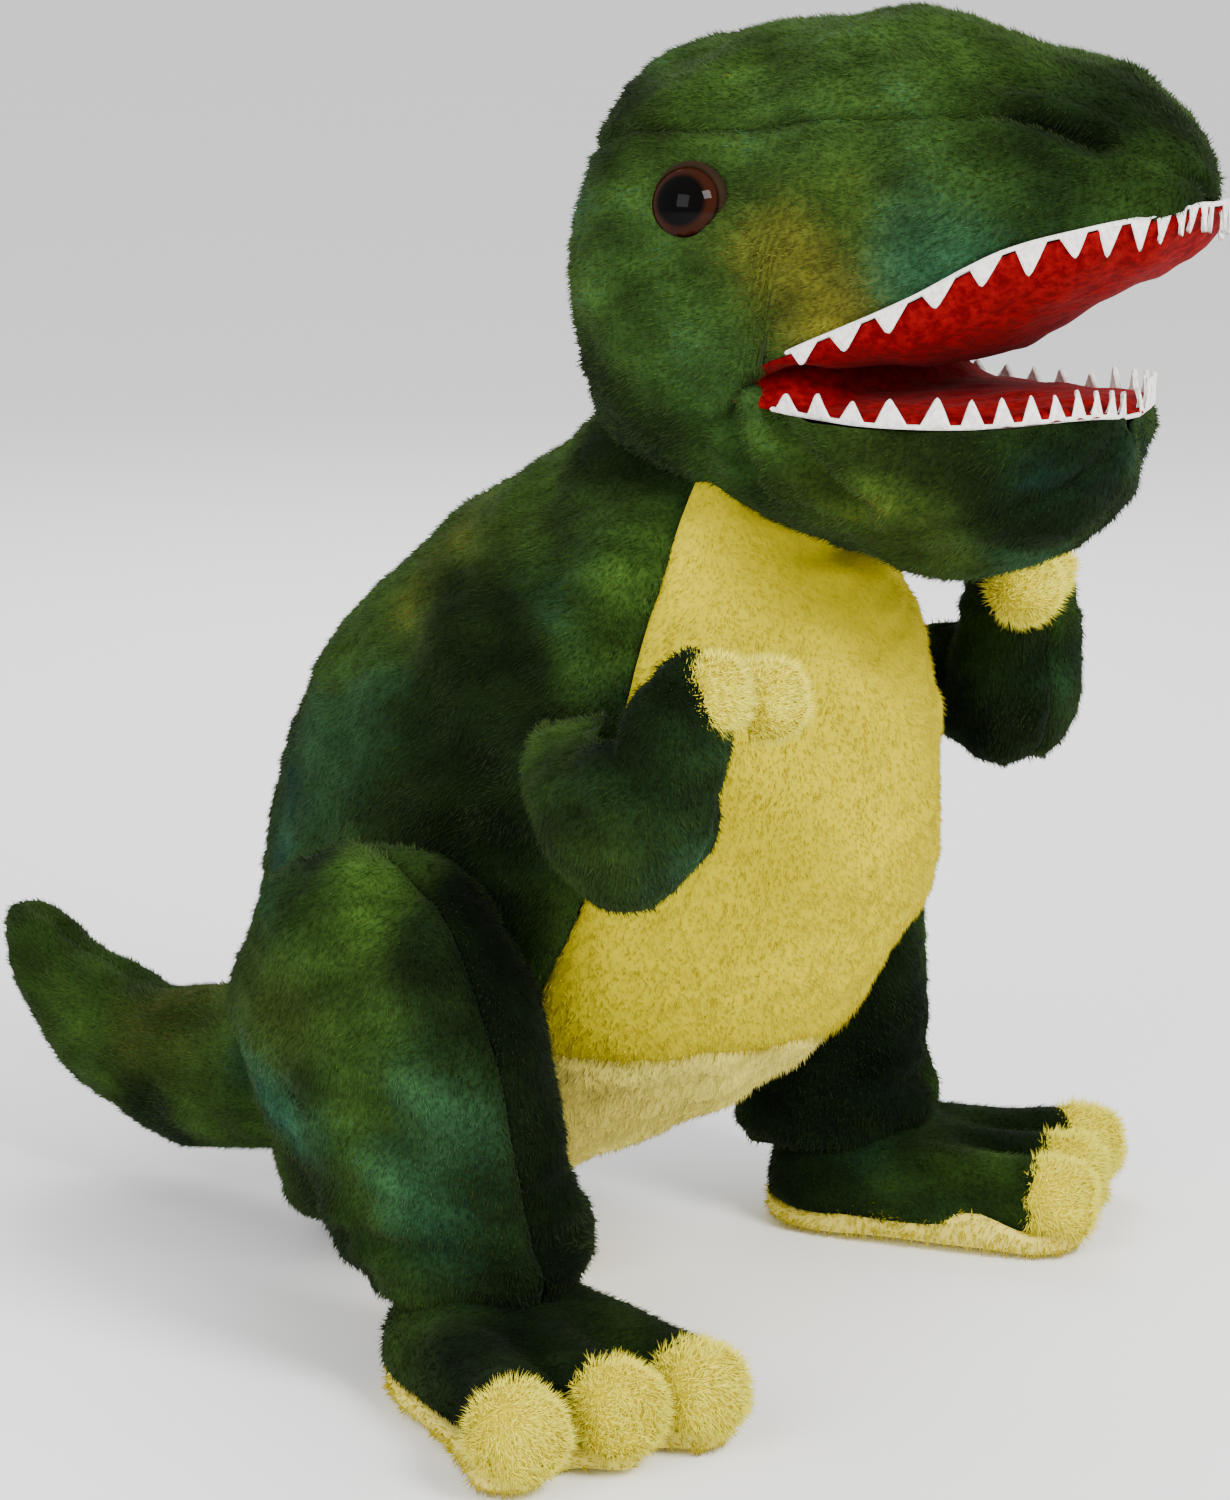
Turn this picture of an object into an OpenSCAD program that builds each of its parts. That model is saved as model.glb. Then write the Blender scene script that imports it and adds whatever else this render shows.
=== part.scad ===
// Plush tyrannosaur: sewn nap-fabric panels over stuffing, with a felt-lined mouth.
// Z is up, the face looks along -Y and X points to the toy's own left.
// The origin is on the ground, under the middle of the whole outline.

/* [Overall] */
// Thickness of the nap fabric panels
fabric = 2.4; // [1.8:0.2:3]
// Thickness of the felt that lines the mouth
felt = 1.6; // [1.2:0.2:2]
// Clearance left between neighbouring pieces
seam_gap = 0.4; // [0.3:0.1:0.6]
// Distance from the ankles back to the origin
origin_back = 38.5; // [34:0.5:43]

/* [Head] */
// Angle from the top of the head down to the brow seam
brow_angle = 48; // [42:1:54]
// Radius of the round neck that the head turns on
neck_r = 33; // [30:1:34]
// Radius of each eye dome
eye_r = 8.6; // [7.5:0.1:9]
// Length of the longest teeth
tooth_h = 8; // [6:0.5:9]
// Number of upper teeth on each side
upper_teeth_per_side = 15; // [12:1:17]
// Number of lower teeth on each side
lower_teeth_per_side = 14; // [12:1:16]

/* [Torso] */
// Angle from the front to the edge of the belly panel at the throat
belly_top_angle = 60; // [56:1:66]
// Angle from the front to the edge of the belly panel at its widest
belly_low_angle = 72; // [66:1:76]
// How far down the body the belly panel ends, as a share of the body
belly_end = 0.68; // [0.64:0.01:0.72]

/* [Limbs] */
// How far the left arm is raised above the right one, in degrees
left_arm_raise = 10; // [0:1:12]
// Distance from the middle plane to the inner face of each thigh
thigh_inner_x = 64; // [64:0.5:66]
// Distance from the middle plane to the inner face of each upper arm
arm_inner_x = 67; // [67:0.5:69]
// Angle that each foot turns outwards
turnout = 21; // [16:1:26]
// Thickness of each sole
sole_t = 4; // [3:0.5:5]
// Radius of each toe cap
toe_cap_r = 11; // [10:0.5:11.5]
// Radius of the round root of the tail
tail_root_r = 25; // [23:0.5:26]

/* [Hidden] */

green = [0.22, 0.36, 0.14];
dark_green = [0.10, 0.22, 0.12];
yellow = [0.90, 0.84, 0.42];
cream = [0.86, 0.82, 0.62];
red = [0.72, 0.06, 0.10];
white = [0.93, 0.92, 0.88];
batting = [0.95, 0.95, 0.93];

// ---- Smooth curves and skins ----

function unit(p) = p / norm(p);
function entry(list, i) = list[max(0, min(len(list) - 1, i))];

// The value a share t of the way along a list, on a smooth curve through every entry
function along(list, t) =
    let (
        s = t * (len(list) - 1),
        i = max(0, min(len(list) - 2, floor(s))),
        f = s - i,
        a = entry(list, i - 1), b = entry(list, i), c = entry(list, i + 1), d = entry(list, i + 2)
    )
    0.5 * (2 * b + (c - a) * f + (2 * a - 5 * b + 4 * c - d) * f * f
        + (3 * b - a - 3 * c + d) * f * f * f);

// A power that keeps its sign: below 1 it makes a ring squarer
function soft(x, e) = sign(x) * pow(abs(x), e);

// A point on a ring across the middle plane. A station is [y, z, reach towards the ring's
// top, reach the other way, half width], and lean turns the ring's top towards -Y.
function ring(s, v, lean, e) =
    let (r = (cos(v) >= 0 ? s[2] : s[3]) * soft(cos(v), e))
    [s[4] * soft(sin(v), e), s[0] - r * sin(lean), s[1] + r * cos(lean)];

// A point on a limb, whose station is [x, y, z, half width along side, half width across]
function limb(list, u, v, side) =
    let (
        s = along(list, u),
        ahead = along(list, u + 0.01) - along(list, u - 0.01),
        t = unit([ahead[0], ahead[1], ahead[2]]),
        up = unit(cross(t, side)),
        flat = cross(up, t)
    )
    [s[0], s[1], s[2]] + s[4] * cos(v) * up + s[3] * sin(v) * flat;

// The outward direction of a surface f(u, v)
function outward(f, u, v) =
    unit(cross(f(u + 0.004, v) - f(u - 0.004, v), f(u, v + 1) - f(u, v - 1)));
function inside(f, u, v, depth) = f(u, v) - depth * outward(f, u, v);

// Two triangles for each cell of a grid of points that starts at entry k
function cells(nu, nv, k, flip) = [
    for (i = [0:nu - 1]) for (j = [0:nv - 1])
        let (a = k + i * (nv + 1) + j, b = a + 1, c = a + nv + 1, d = c + 1)
        each (flip ? [[a, c, b], [b, c, d]] : [[a, b, c], [b, d, c]])
];

// The wall between the rims of two grids, whose points run round the rim in order
function rim(nu, nv) = concat(
    [for (j = [0:nv - 1]) j],
    [for (i = [0:nu - 1]) i * (nv + 1) + nv],
    [for (j = [nv:-1:1]) nu * (nv + 1) + j],
    [for (i = [nu:-1:1]) i * (nv + 1)]
);

// A cloth panel: the part of a surface between two u values and two edge functions of u
module panel(f, u0, u1, v0, v1, nu, nv, t, depth = 0) {
    us = [for (i = [0:nu]) u0 + (u1 - u0) * i / nu];
    grid = function (d) [
        for (u = us) for (j = [0:nv]) inside(f, u, v0(u) + (v1(u) - v0(u)) * j / nv, d)
    ];
    count = (nu + 1) * (nv + 1);
    edge = rim(nu, nv);
    wall = [
        for (i = [0:len(edge) - 1])
            let (a = edge[i], b = edge[(i + 1) % len(edge)])
            each [[a, a + count, b], [b, a + count, b + count]]
    ];
    polyhedron(
        concat(grid(depth), grid(depth + t)),
        concat(cells(nu, nv, 0, false), cells(nu, nv, count, true), wall),
        convexity = 6
    );
}

// Stuffing: the closed inside of a surface, at a given depth below it
module core(f, u0, u1, nu, nv, depth) {
    rows = [
        for (i = [0:nu])
            [for (j = [0:nv - 1]) inside(f, u0 + (u1 - u0) * i / nu, 360 * j / nv, depth)]
    ];
    middle = function (row) [for (p = row) 1] * row / nv;
    count = (nu + 1) * nv;
    polyhedron(
        concat([for (row = rows) each row], [middle(rows[0]), middle(rows[nu])]),
        concat(
            [
                for (i = [0:nu - 1]) for (j = [0:nv - 1])
                    let (a = i * nv + j, b = i * nv + (j + 1) % nv, c = a + nv, d = b + nv)
                    each [[a, b, c], [b, d, c]]
            ],
            [for (j = [0:nv - 1]) [(j + 1) % nv, j, count]],
            [for (j = [0:nv - 1]) [nu * nv + j, nu * nv + (j + 1) % nv, count + 1]]
        ),
        convexity = 6
    );
}

function fixed(value) = function (u) value;
core_depth = fabric + 2 * seam_gap;

// Puts a Z-axis shape at a point, turned to point along a direction
module facing(p, n) {
    translate(p) rotate([0, acos(n[2]), atan2(n[1], n[0])]) children();
}

// A stuffed cap: a flat back, a short straight side and a round end
module dome(r, length) {
    rotate_extrude($fn = 36) {
        square([r, length]);
        intersection() {
            translate([0, length]) circle(r, $fn = 36);
            square([r, length + r]);
        }
    }
}

// Moves the whole toy so that the origin is under its middle
module placed() {
    translate([0, -origin_back, 0]) children();
}

// Makes one side's piece: the left as it is, the right as its mirror image
module on_side(side) {
    mirror([side == "right" ? 1 : 0, 0, 0]) children();
}

// ---- Torso ----

// Stations from the neck down to the rump: [y, z, reach forwards, reach back, half width]
torso_stations = [
    [-17, 246, 22, 22, 22],
    [-17, 234, 31, 31, 32],
    [-13, 217, 39, 50, 43],
    [-6, 200, 55, 70, 53],
    [3, 176, 74, 92, 62],
    [11, 150, 87, 99, 64.5],
    [19, 122, 94, 101, 61.5],
    [29, 94, 90, 97, 60.5],
    [44, 64, 76, 86, 57],
    [64, 36, 46, 62, 48],
    [84, 14, 22, 34, 36],
    [92, 6, 8, 14, 14]
];
torso = function (u, v) ring(along(torso_stations, u), v, 90, 1);

belly_start = 0.12;
skin_top = 0.02;
skin_bottom = 0.985;
// How much the belly's edge turns in below its widest place, in degrees
belly_turn_in = 22;
belly_edge = function (u)
    let (
        down = (u - belly_start) / (belly_end - belly_start),
        below = (u - belly_end) / (skin_bottom - belly_end)
    )
    u < belly_end
        ? belly_top_angle + (belly_low_angle - belly_top_angle) * down
        : belly_low_angle - belly_turn_in * below;
seam_angle = 0.4;

tail_pivot = [0, 122, 43];

// The round hollow in the rump that the root of the tail sits in
module tail_hollow() {
    translate(tail_pivot) sphere(tail_root_r + 1, $fn = 48);
}

module torso_side(side) {
    color(green) placed() on_side(side) difference() {
        panel(torso, skin_top, skin_bottom, function (u) belly_edge(u) + seam_angle,
            fixed(180 - seam_angle), 20, 9, fabric);
        tail_hollow();
    }
}

module belly_panel() {
    color(yellow) placed()
        panel(torso, belly_start, belly_end, function (u) -belly_edge(u), belly_edge, 12, 12, fabric);
}

module underbelly_panel() {
    color(cream) placed()
        panel(torso, belly_end + 0.003, skin_bottom, function (u) -belly_edge(u), belly_edge,
            7, 10, fabric);
}

module torso_stuffing() {
    color(batting) placed() difference() {
        core(torso, 0.03, 0.96, 18, 22, core_depth);
        tail_hollow();
    }
}

// ---- Neck ----

neck_pivot = [0, -17, 236];

// Height of the flat underside of the neck's pad, just above the torso
neck_base_z = 248;
neck_play = 2;

module neck_stuffing() {
    color(batting) placed() intersection() {
        translate(neck_pivot) sphere(neck_r, $fn = 96);
        translate([-neck_r - 1, neck_pivot[1] - neck_r - 1, neck_base_z]) cube(2 * neck_r + 2);
    }
}

// The room that the neck and the top of the torso take up inside the head
module neck_room() {
    translate(neck_pivot) sphere(neck_r + neck_play, $fn = 36);
    translate([0, neck_pivot[1], neck_pivot[2] - 46]) cylinder(h = 47, r = neck_r + 22, $fn = 36);
}

// ---- Head ----

// Stations from the back of the head to the nose: [y, z, height, drop, half width]
head_stations = [
    [12, 276, 14, 14, 14],
    [6, 274, 43, 36, 34],
    [-7, 268, 62, 46, 45],
    [-24, 262, 72, 46, 50],
    [-43, 257, 80, 32, 50],
    [-57, 257, 83, 4, 48],
    [-74, 264, 76, 9, 46],
    [-96, 274, 62, 16, 42],
    [-118, 286, 45, 16, 36],
    [-137, 292, 30, 13, 28],
    [-148, 294, 18, 8, 18],
    [-152, 296, 8, 3, 8]
];
head = function (u, v) ring(along(head_stations, u), v, 0, 0.9);

mouth_u = 0.47;
head_back_u = 0.02;
head_front_u = 0.985;
// Angle from the top of the head down to the lower edge of its sides, behind the mouth
cheek_angle = 128;
cheek_turn = 0.06;
cheek_edge = function (u)
    let (towards_mouth = min(1, max(0, (u - mouth_u + cheek_turn) / cheek_turn)))
    cheek_angle + (90 - cheek_angle) * towards_mouth;

eye_u = 0.335;
eye_v = 64;
eye_at = head(eye_u, eye_v);
eye_out = unit(outward(head, eye_u, eye_v) + [0, -0.12, 0]);
// How far the middle of the eye's dome is below its base, and the base above the cloth
eye_sink = 4;
eye_lift = 1;
stem_r = 2;
stem_len = 7;
washer_r = 7;
washer_t = 1.2;

module eye_stem_hole() {
    facing(eye_at, eye_out) translate([0, 0, -stem_len - 2])
        cylinder(h = stem_len + 6, r = stem_r + 0.3, $fn = 32);
}

module crown_panel() {
    color(green) placed()
        panel(head, head_back_u, head_front_u, fixed(-brow_angle), fixed(brow_angle), 18, 8, fabric);
}

module head_side(side) {
    color(green) placed() on_side(side) difference() {
        panel(head, head_back_u, head_front_u, fixed(brow_angle + 0.4), cheek_edge, 22, 6, fabric);
        eye_stem_hole();
    }
}

module head_stuffing() {
    color(batting) placed() difference() {
        core(head, 0.05, 0.96, 18, 20, core_depth + seam_gap);
        neck_room();
        for (side = ["left", "right"]) on_side(side) {
            eye_stem_hole();
            facing(eye_at, eye_out) translate([0, 0, -stem_len - 3])
                cylinder(h = stem_len + 1, r = washer_r + 0.5, $fn = 32);
        }
    }
}

module palate_lining() {
    color(red) placed()
        panel(head, mouth_u, head_front_u, fixed(92), fixed(268), 12, 10, felt);
}

board_t = 0.5;

module palate_board() {
    color("tan") placed()
        panel(head, mouth_u + 0.03, 0.93, fixed(118), fixed(242), 8, 6, board_t, felt + seam_gap);
}

tooth_t = 1.1;
tooth_gap = 0.25;
// Half width of a tooth's blunt tip, as a share of the width of its root
tooth_tip = 0.08;

// A tooth with its root between two points on a lip
module tooth(a, b, reach, out) {
    tip = (a + b) / 2 + reach;
    wide = (b - a) * tooth_tip;
    back = [for (p = [a, b, tip + wide, tip - wide]) p + out * tooth_gap];
    polyhedron(
        concat(back, [for (p = back) p + out * tooth_t]),
        [[0, 1, 2, 3], [7, 6, 5, 4], [0, 4, 5, 1], [1, 5, 6, 2], [2, 6, 7, 3], [3, 7, 4, 0]]
    );
}

// How far along a lip the root of tooth i starts: the teeth get closer towards the front
function lip_share(i, count) = 1 - pow(1 - i / count, 1.25);

// A row of teeth round a lip from corner to corner, where up is 1 for teeth that stand up
module tooth_row(f, u0, count, up) {
    for (side = ["left", "right"]) on_side(side) for (i = [0:count - 1]) {
        ends = [
            for (k = [i + 0.05, i + 0.95])
                f(u0 + (head_front_u - u0) * lip_share(k, count), 90) + [0, 0, up * tooth_gap]
        ];
        out = unit(cross(ends[1] - ends[0], [0, 0, -1]));
        h = tooth_h * (0.6 + 0.25 * i / count + 0.15 * sin(i * 97));
        tooth(ends[up > 0 ? 1 : 0], ends[up > 0 ? 0 : 1], [0, 0, up * h], out);
    }
}

module upper_teeth() {
    color(white) placed() tooth_row(head, mouth_u + 0.06, upper_teeth_per_side, -1);
}

module eye(side) {
    color([0.2, 0.08, 0.04]) placed() on_side(side) facing(eye_at, eye_out) {
        rotate_extrude($fn = 64) intersection() {
            translate([0, -eye_sink]) circle(r = eye_r * 1.21, $fn = 96);
            translate([0, eye_lift]) square([eye_r, 2 * eye_r]);
        }
        translate([0, 0, -stem_len]) cylinder(h = stem_len + 1, r = stem_r, $fn = 32);
    }
}

module eye_washer(side) {
    color("white") placed() on_side(side) facing(eye_at, eye_out) translate([0, 0, -5])
        difference() {
            cylinder(h = washer_t, r = washer_r, $fn = 48);
            translate([0, 0, -1]) cylinder(h = washer_t + 2, r = stem_r, $fn = 32);
        }
}

// ---- Jaw ----

// Stations from the hinge to the chin: [y, z, rise of the lining, depth, half width]
jaw_stations = [
    [-60, 247, 1, 22, 34],
    [-64, 247, 2, 31, 42],
    [-73, 246, 3, 38, 45],
    [-88, 245, 4, 41, 43],
    [-106, 245, 5, 37, 39],
    [-119, 246, 4, 31, 32],
    [-128, 247, 3, 26, 23],
    [-132, 247, 1, 14, 12]
];
jaw = function (u, v) ring(along(jaw_stations, u), v, 0, 0.9);
jaw_back_u = 0.03;
jaw_front_u = 0.97;
chin_angle = 128;
// Angle at which the side band starts, just below the edge of the lining
band_top = 91.2;

module jaw_side_band() {
    color(green) placed() for (side = ["left", "right"]) on_side(side)
        panel(jaw, jaw_back_u, jaw_front_u, fixed(band_top), fixed(chin_angle), 12, 4, fabric);
}

module chin_panel() {
    color(dark_green) placed()
        panel(jaw, jaw_back_u, jaw_front_u, fixed(chin_angle + 1), fixed(359 - chin_angle), 12, 8,
            fabric);
}

module jaw_lining() {
    color(red) placed()
        panel(jaw, jaw_back_u, jaw_front_u, fixed(-88), fixed(88), 12, 10, felt);
}

module jaw_board() {
    color("tan") placed()
        panel(jaw, 0.14, 0.9, fixed(-60), fixed(60), 8, 6, board_t, felt + seam_gap);
}

module lower_teeth() {
    color(white) placed() tooth_row(jaw, jaw_back_u + 0.05, lower_teeth_per_side, 1);
}

module jaw_stuffing() {
    color(batting) placed() core(jaw, 0.14, 0.88, 9, 18, core_depth + 1);
}

// ---- Arms ----

// The arm's rings fan out round the crease inside the elbow. Stations of the left arm, from
// shoulder to hand: [angle round the crease, distance from it, half width, half depth, shift]
arm_stations = [
    [4, 12, 9, 7, -25],
    [14, 13.5, 14, 9.5, -22],
    [32, 15, 16.5, 11, -17],
    [56, 17.5, 18, 13.5, -9],
    [84, 21.5, 19, 17.5, -3],
    [108, 24.5, 19, 20.5, 0],
    [131, 21.5, 19, 17.5, 0],
    [156, 18.5, 18.5, 14.5, 0],
    [182, 17.5, 17, 13.5, 0],
    [202, 17.25, 15, 13.25, 0],
    [216, 18, 11.5, 10, 0],
    [222, 18.5, 7, 6, 0]
];
elbow_crease = [91, -44, 175];
arm_side = unit([0.88, -0.46, 0.1]);
arm_back = unit([0, 1, 0] - arm_side[1] * arm_side);
arm_up = cross(arm_side, arm_back);
arm = function (u, v)
    let (
        s = along(arm_stations, u),
        away = cos(s[0]) * arm_back - sin(s[0]) * arm_up,
        p = elbow_crease + (s[1] - s[3] * cos(v)) * away + (s[4] + s[2] * sin(v)) * arm_side
    )
    [max(p[0], arm_inner_x), p[1], p[2]];
shoulder = [arm_inner_x, -26, 162];
// Each finger cap: the middle of its flat back, and the way it points
fingers = [[[85, -60, 178], [-0.35, -0.75, 0.5]], [[70, -66, 176], [-0.6, -0.7, 0.35]]];
finger_r = 10;
finger_len = 7;

// Raises the left arm about its shoulder
module arm_pose(side) {
    raise = side == "left" ? left_arm_raise : 0;
    placed() on_side(side) translate(shoulder) rotate([-raise, 0, 0]) translate(-shoulder) children();
}

// Both finger caps, made larger all round by extra
module finger_shapes(extra) {
    for (f = fingers) facing(f[0], unit(f[1])) translate([0, 0, -extra])
        dome(finger_r + extra, finger_len + extra);
}

// A part of the arm with room cut into it for the finger caps
module arm_piece(side) {
    arm_pose(side) difference() {
        children();
        finger_shapes(seam_gap);
    }
}

module sleeve_outer(side) {
    color(green) arm_piece(side)
        panel(arm, 0.08, 0.96, fixed(0.8), fixed(179.2), 16, 8, fabric);
}

module sleeve_inner(side) {
    color(dark_green) arm_piece(side)
        panel(arm, 0.08, 0.96, fixed(180.8), fixed(359.2), 16, 8, fabric);
}

module arm_stuffing(side) {
    color(batting) arm_piece(side) core(arm, 0.3, 0.8, 12, 14, core_depth);
}

module finger_caps(side) {
    color(yellow) arm_pose(side) finger_shapes(0);
}

// ---- Legs ----

// Stations of the left leg from the hip to the ankle: [x, y, z, half width, half depth]
leg_stations = [
    [86, 38, 129, 6, 8],
    [88, 36, 125, 18, 24],
    [89, 31, 112, 25, 37],
    [90, 22, 92, 27, 42],
    [89, 13, 71, 26, 39],
    [87, 6, 52, 25, 33],
    [85, 1, 40, 25, 30],
    [84, -1, 34, 24, 29]
];
leg = function (u, v)
    let (p = limb(leg_stations, u, v, [1, 0, 0]))
    [max(p[0], thigh_inner_x), p[1], p[2]];

module leg_outer(side) {
    color(green) placed() on_side(side)
        panel(leg, 0.03, 0.985, fixed(0.6), fixed(179.4), 14, 8, fabric);
}

module leg_inner(side) {
    color(dark_green) placed() on_side(side)
        panel(leg, 0.03, 0.985, fixed(180.6), fixed(359.4), 14, 8, fabric);
}

module leg_stuffing(side) {
    color(batting) placed() on_side(side) core(leg, 0.06, 0.96, 12, 16, core_depth);
}

// ---- Feet ----

// Stations of a foot from heel to toes, about the ankle: [y, z, height, drop, half width]
foot_stations = [
    [20, 9, 5, 4, 6],
    [17, 9, 14, 4, 17],
    [8, 9, 21, 4, 25],
    [-9, 9, 22, 4, 29],
    [-26, 9, 19, 4, 32],
    [-40, 9, 15, 4, 33]
];
foot = function (u, v) ring(along(foot_stations, u), v, 0, 0.85);
ankle = [86, -5, 0];
// Each toe: where its root is, across and forwards, the way it turns and its length
toes = [[-20, -44, -3, 14], [2, -42, 3, 16], [23, -42, 22, 18]];
toe_r = 9.5;
toe_cap_len = 7;

module foot_place(side) {
    placed() on_side(side) translate(ankle) rotate([0, 0, turnout]) children();
}

module foot_upper(side) {
    color(green) foot_place(side)
        panel(foot, 0.03, 0.985, fixed(-90), fixed(90), 10, 12, fabric);
}

module foot_stuffing(side) {
    color(batting) foot_place(side) core(foot, 0.12, 0.96, 9, 16, core_depth);
}

// Puts a Z-axis shape at the root of a toe, pointing along it
module toe_place(side, t, forwards) {
    foot_place(side) translate([t[0], t[1], sole_t + toe_cap_r]) rotate([90, 0, t[2]])
        translate([0, 0, forwards]) children();
}

module toe_green(side) {
    color(green) for (t = toes) toe_place(side, t, 0)
        cylinder(h = t[3] - seam_gap, r1 = toe_r, r2 = toe_cap_r - 1, $fn = 36);
}

module toe_caps(side) {
    color(yellow) for (t = toes) toe_place(side, t, t[3]) dome(toe_cap_r, toe_cap_len);
}

// Where the middle of a toe cap stands on the sole
function toe_tip(t) = [t[0], t[1]] + (t[3] + toe_cap_len) * [sin(t[2]), -cos(t[2])];

module sole_plate() {
    linear_extrude(sole_t - seam_gap) children();
}

module foot_sole(side) {
    color(yellow) foot_place(side) {
        sole_plate() translate([0, -4]) circle(r = 25, $fn = 64);
        sole_plate() polygon([[-24, -4], [24, -4], [33, -40], [-33, -40]]);
        for (t = toes) {
            tip = toe_tip(t);
            sole_plate() translate(tip) circle(r = toe_cap_r, $fn = 48);
            sole_plate() polygon([
                [t[0] - toe_r, t[1] + 8], [t[0] + toe_r, t[1] + 8],
                [tip[0] + toe_r, tip[1]], [tip[0] - toe_r, tip[1]]
            ]);
        }
    }
}

// ---- Tail ----

// Stations from inside the rump to the tip: [y, z, height, drop, half width]
tail_stations = [
    [100, 43, 6, 6, 6],
    [105, 43, 17, 17, 17],
    [113, 43, 22.5, 22.5, 22.5],
    [124, 43, 24.6, 24.6, 24.6],
    [148, 37, 23, 23, 23],
    [174, 35, 21, 21, 20],
    [200, 44, 18, 18, 17],
    [219, 57, 14, 14, 13],
    [230, 67, 8, 8, 7]
];
tail = function (u, v) ring(along(tail_stations, u), v, 0, 1);
// The same surface with its rings running the other way round, so that it faces outwards
tail_out = function (u, v) tail(u, -v);

module tail_side(side) {
    color(green) placed() on_side(side)
        panel(tail_out, 0.02, 0.985, fixed(-179.4), fixed(-0.6), 14, 8, fabric);
}

module tail_stuffing() {
    color(batting) placed() core(tail_out, 0.06, 0.95, 12, 16, core_depth);
}

torso_side("right");  // torso_side_right
torso_side("left");  // torso_side_left
belly_panel();
underbelly_panel();
torso_stuffing();
neck_stuffing();
crown_panel();
head_side("right");  // head_side_right
head_side("left");  // head_side_left
head_stuffing();
palate_lining();
palate_board();
upper_teeth();
eye("right");  // eye_right
eye("left");  // eye_left
eye_washer("right");  // eye_washer_right
eye_washer("left");  // eye_washer_left
jaw_side_band();
chin_panel();
jaw_lining();
jaw_board();
lower_teeth();
jaw_stuffing();
sleeve_outer("right");  // sleeve_outer_right
sleeve_inner("right");  // sleeve_inner_right
finger_caps("right");  // finger_caps_right
arm_stuffing("right");  // arm_stuffing_right
sleeve_outer("left");  // sleeve_outer_left
sleeve_inner("left");  // sleeve_inner_left
finger_caps("left");  // finger_caps_left
arm_stuffing("left");  // arm_stuffing_left
leg_outer("right");  // leg_outer_right
leg_inner("right");  // leg_inner_right
leg_stuffing("right");  // leg_stuffing_right
foot_upper("right");  // foot_upper_right
foot_stuffing("right");  // foot_stuffing_right
toe_green("right");  // toes_right
toe_caps("right");  // toe_caps_right
foot_sole("right");  // foot_sole_right
leg_outer("left");  // leg_outer_left
leg_inner("left");  // leg_inner_left
leg_stuffing("left");  // leg_stuffing_left
foot_upper("left");  // foot_upper_left
foot_stuffing("left");  // foot_stuffing_left
toe_green("left");  // toes_left
toe_caps("left");  // toe_caps_left
foot_sole("left");  // foot_sole_left
tail_side("right");  // tail_side_right
tail_side("left");  // tail_side_left
tail_stuffing();
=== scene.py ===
import bpy, math
import numpy as np
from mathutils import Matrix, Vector


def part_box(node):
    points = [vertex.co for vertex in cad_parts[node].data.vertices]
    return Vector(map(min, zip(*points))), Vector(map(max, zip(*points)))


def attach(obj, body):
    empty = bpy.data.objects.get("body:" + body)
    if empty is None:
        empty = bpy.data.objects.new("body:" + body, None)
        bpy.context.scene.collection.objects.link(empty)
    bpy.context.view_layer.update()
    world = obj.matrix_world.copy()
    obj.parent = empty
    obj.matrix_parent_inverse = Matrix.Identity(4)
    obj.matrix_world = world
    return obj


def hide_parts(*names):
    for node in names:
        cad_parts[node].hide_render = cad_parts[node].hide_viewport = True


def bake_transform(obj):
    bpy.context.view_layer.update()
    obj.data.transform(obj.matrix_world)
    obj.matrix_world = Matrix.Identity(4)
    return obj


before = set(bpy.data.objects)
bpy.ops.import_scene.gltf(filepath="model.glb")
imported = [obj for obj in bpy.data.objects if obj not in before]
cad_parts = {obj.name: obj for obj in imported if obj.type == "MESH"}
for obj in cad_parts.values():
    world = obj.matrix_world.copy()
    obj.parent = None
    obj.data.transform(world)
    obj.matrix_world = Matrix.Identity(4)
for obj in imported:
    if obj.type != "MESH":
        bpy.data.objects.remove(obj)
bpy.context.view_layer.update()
scene = bpy.context.scene

# the camera, three lamps and a white world
shot = dict(turn=-55, lift=11, lens=100, away=1.1, target=(0, -.0165, .165), shiftX=.0133, shiftY=-.0487)
turn, lift = math.radians(shot["turn"]), math.radians(shot["lift"])
back = Vector((math.sin(turn) * math.cos(lift), -math.cos(turn) * math.cos(lift), math.sin(lift)))
camera = bpy.data.objects.new("camera", bpy.data.cameras.new("camera"))
scene.collection.objects.link(camera)
camera.data.lens, camera.data.sensor_width = shot["lens"], 36
camera.data.shift_x, camera.data.shift_y = shot["shiftX"], shot["shiftY"]
camera.location = Vector(shot["target"]) + back * shot["away"]
camera.rotation_mode = "QUATERNION"
camera.rotation_quaternion = (-back).to_track_quat("-Z", "Y")
scene.camera = camera

lightBox = dict(
    key=dict(at=(-.35, -1.25, 1.15), size=.55, power=34),
    fill=dict(at=(-1.35, -.1, .75), size=.8, power=13),
    rim=dict(at=(.9, .7, 1.0), size=.7, power=10),
)
for name, l in lightBox.items():
    lamp = bpy.data.lights.new(name, "AREA")
    lamp.shape, lamp.size, lamp.energy = "SQUARE", l["size"], l["power"]
    lampObject = bpy.data.objects.new(name, lamp)
    lampObject.location = l["at"]
    lampObject.rotation_mode = "QUATERNION"
    lampObject.rotation_quaternion = (Vector((0, -.02, .17)) - Vector(l["at"])).to_track_quat("-Z", "Y")
    scene.collection.objects.link(lampObject)
world = bpy.data.worlds.new("studio")
world.use_nodes = True
world.node_tree.nodes["Background"].inputs["Color"].default_value = (1, 1, 1, 1)
world.node_tree.nodes["Background"].inputs["Strength"].default_value = 1.1
scene.world = world
print("camera and lights")


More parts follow.
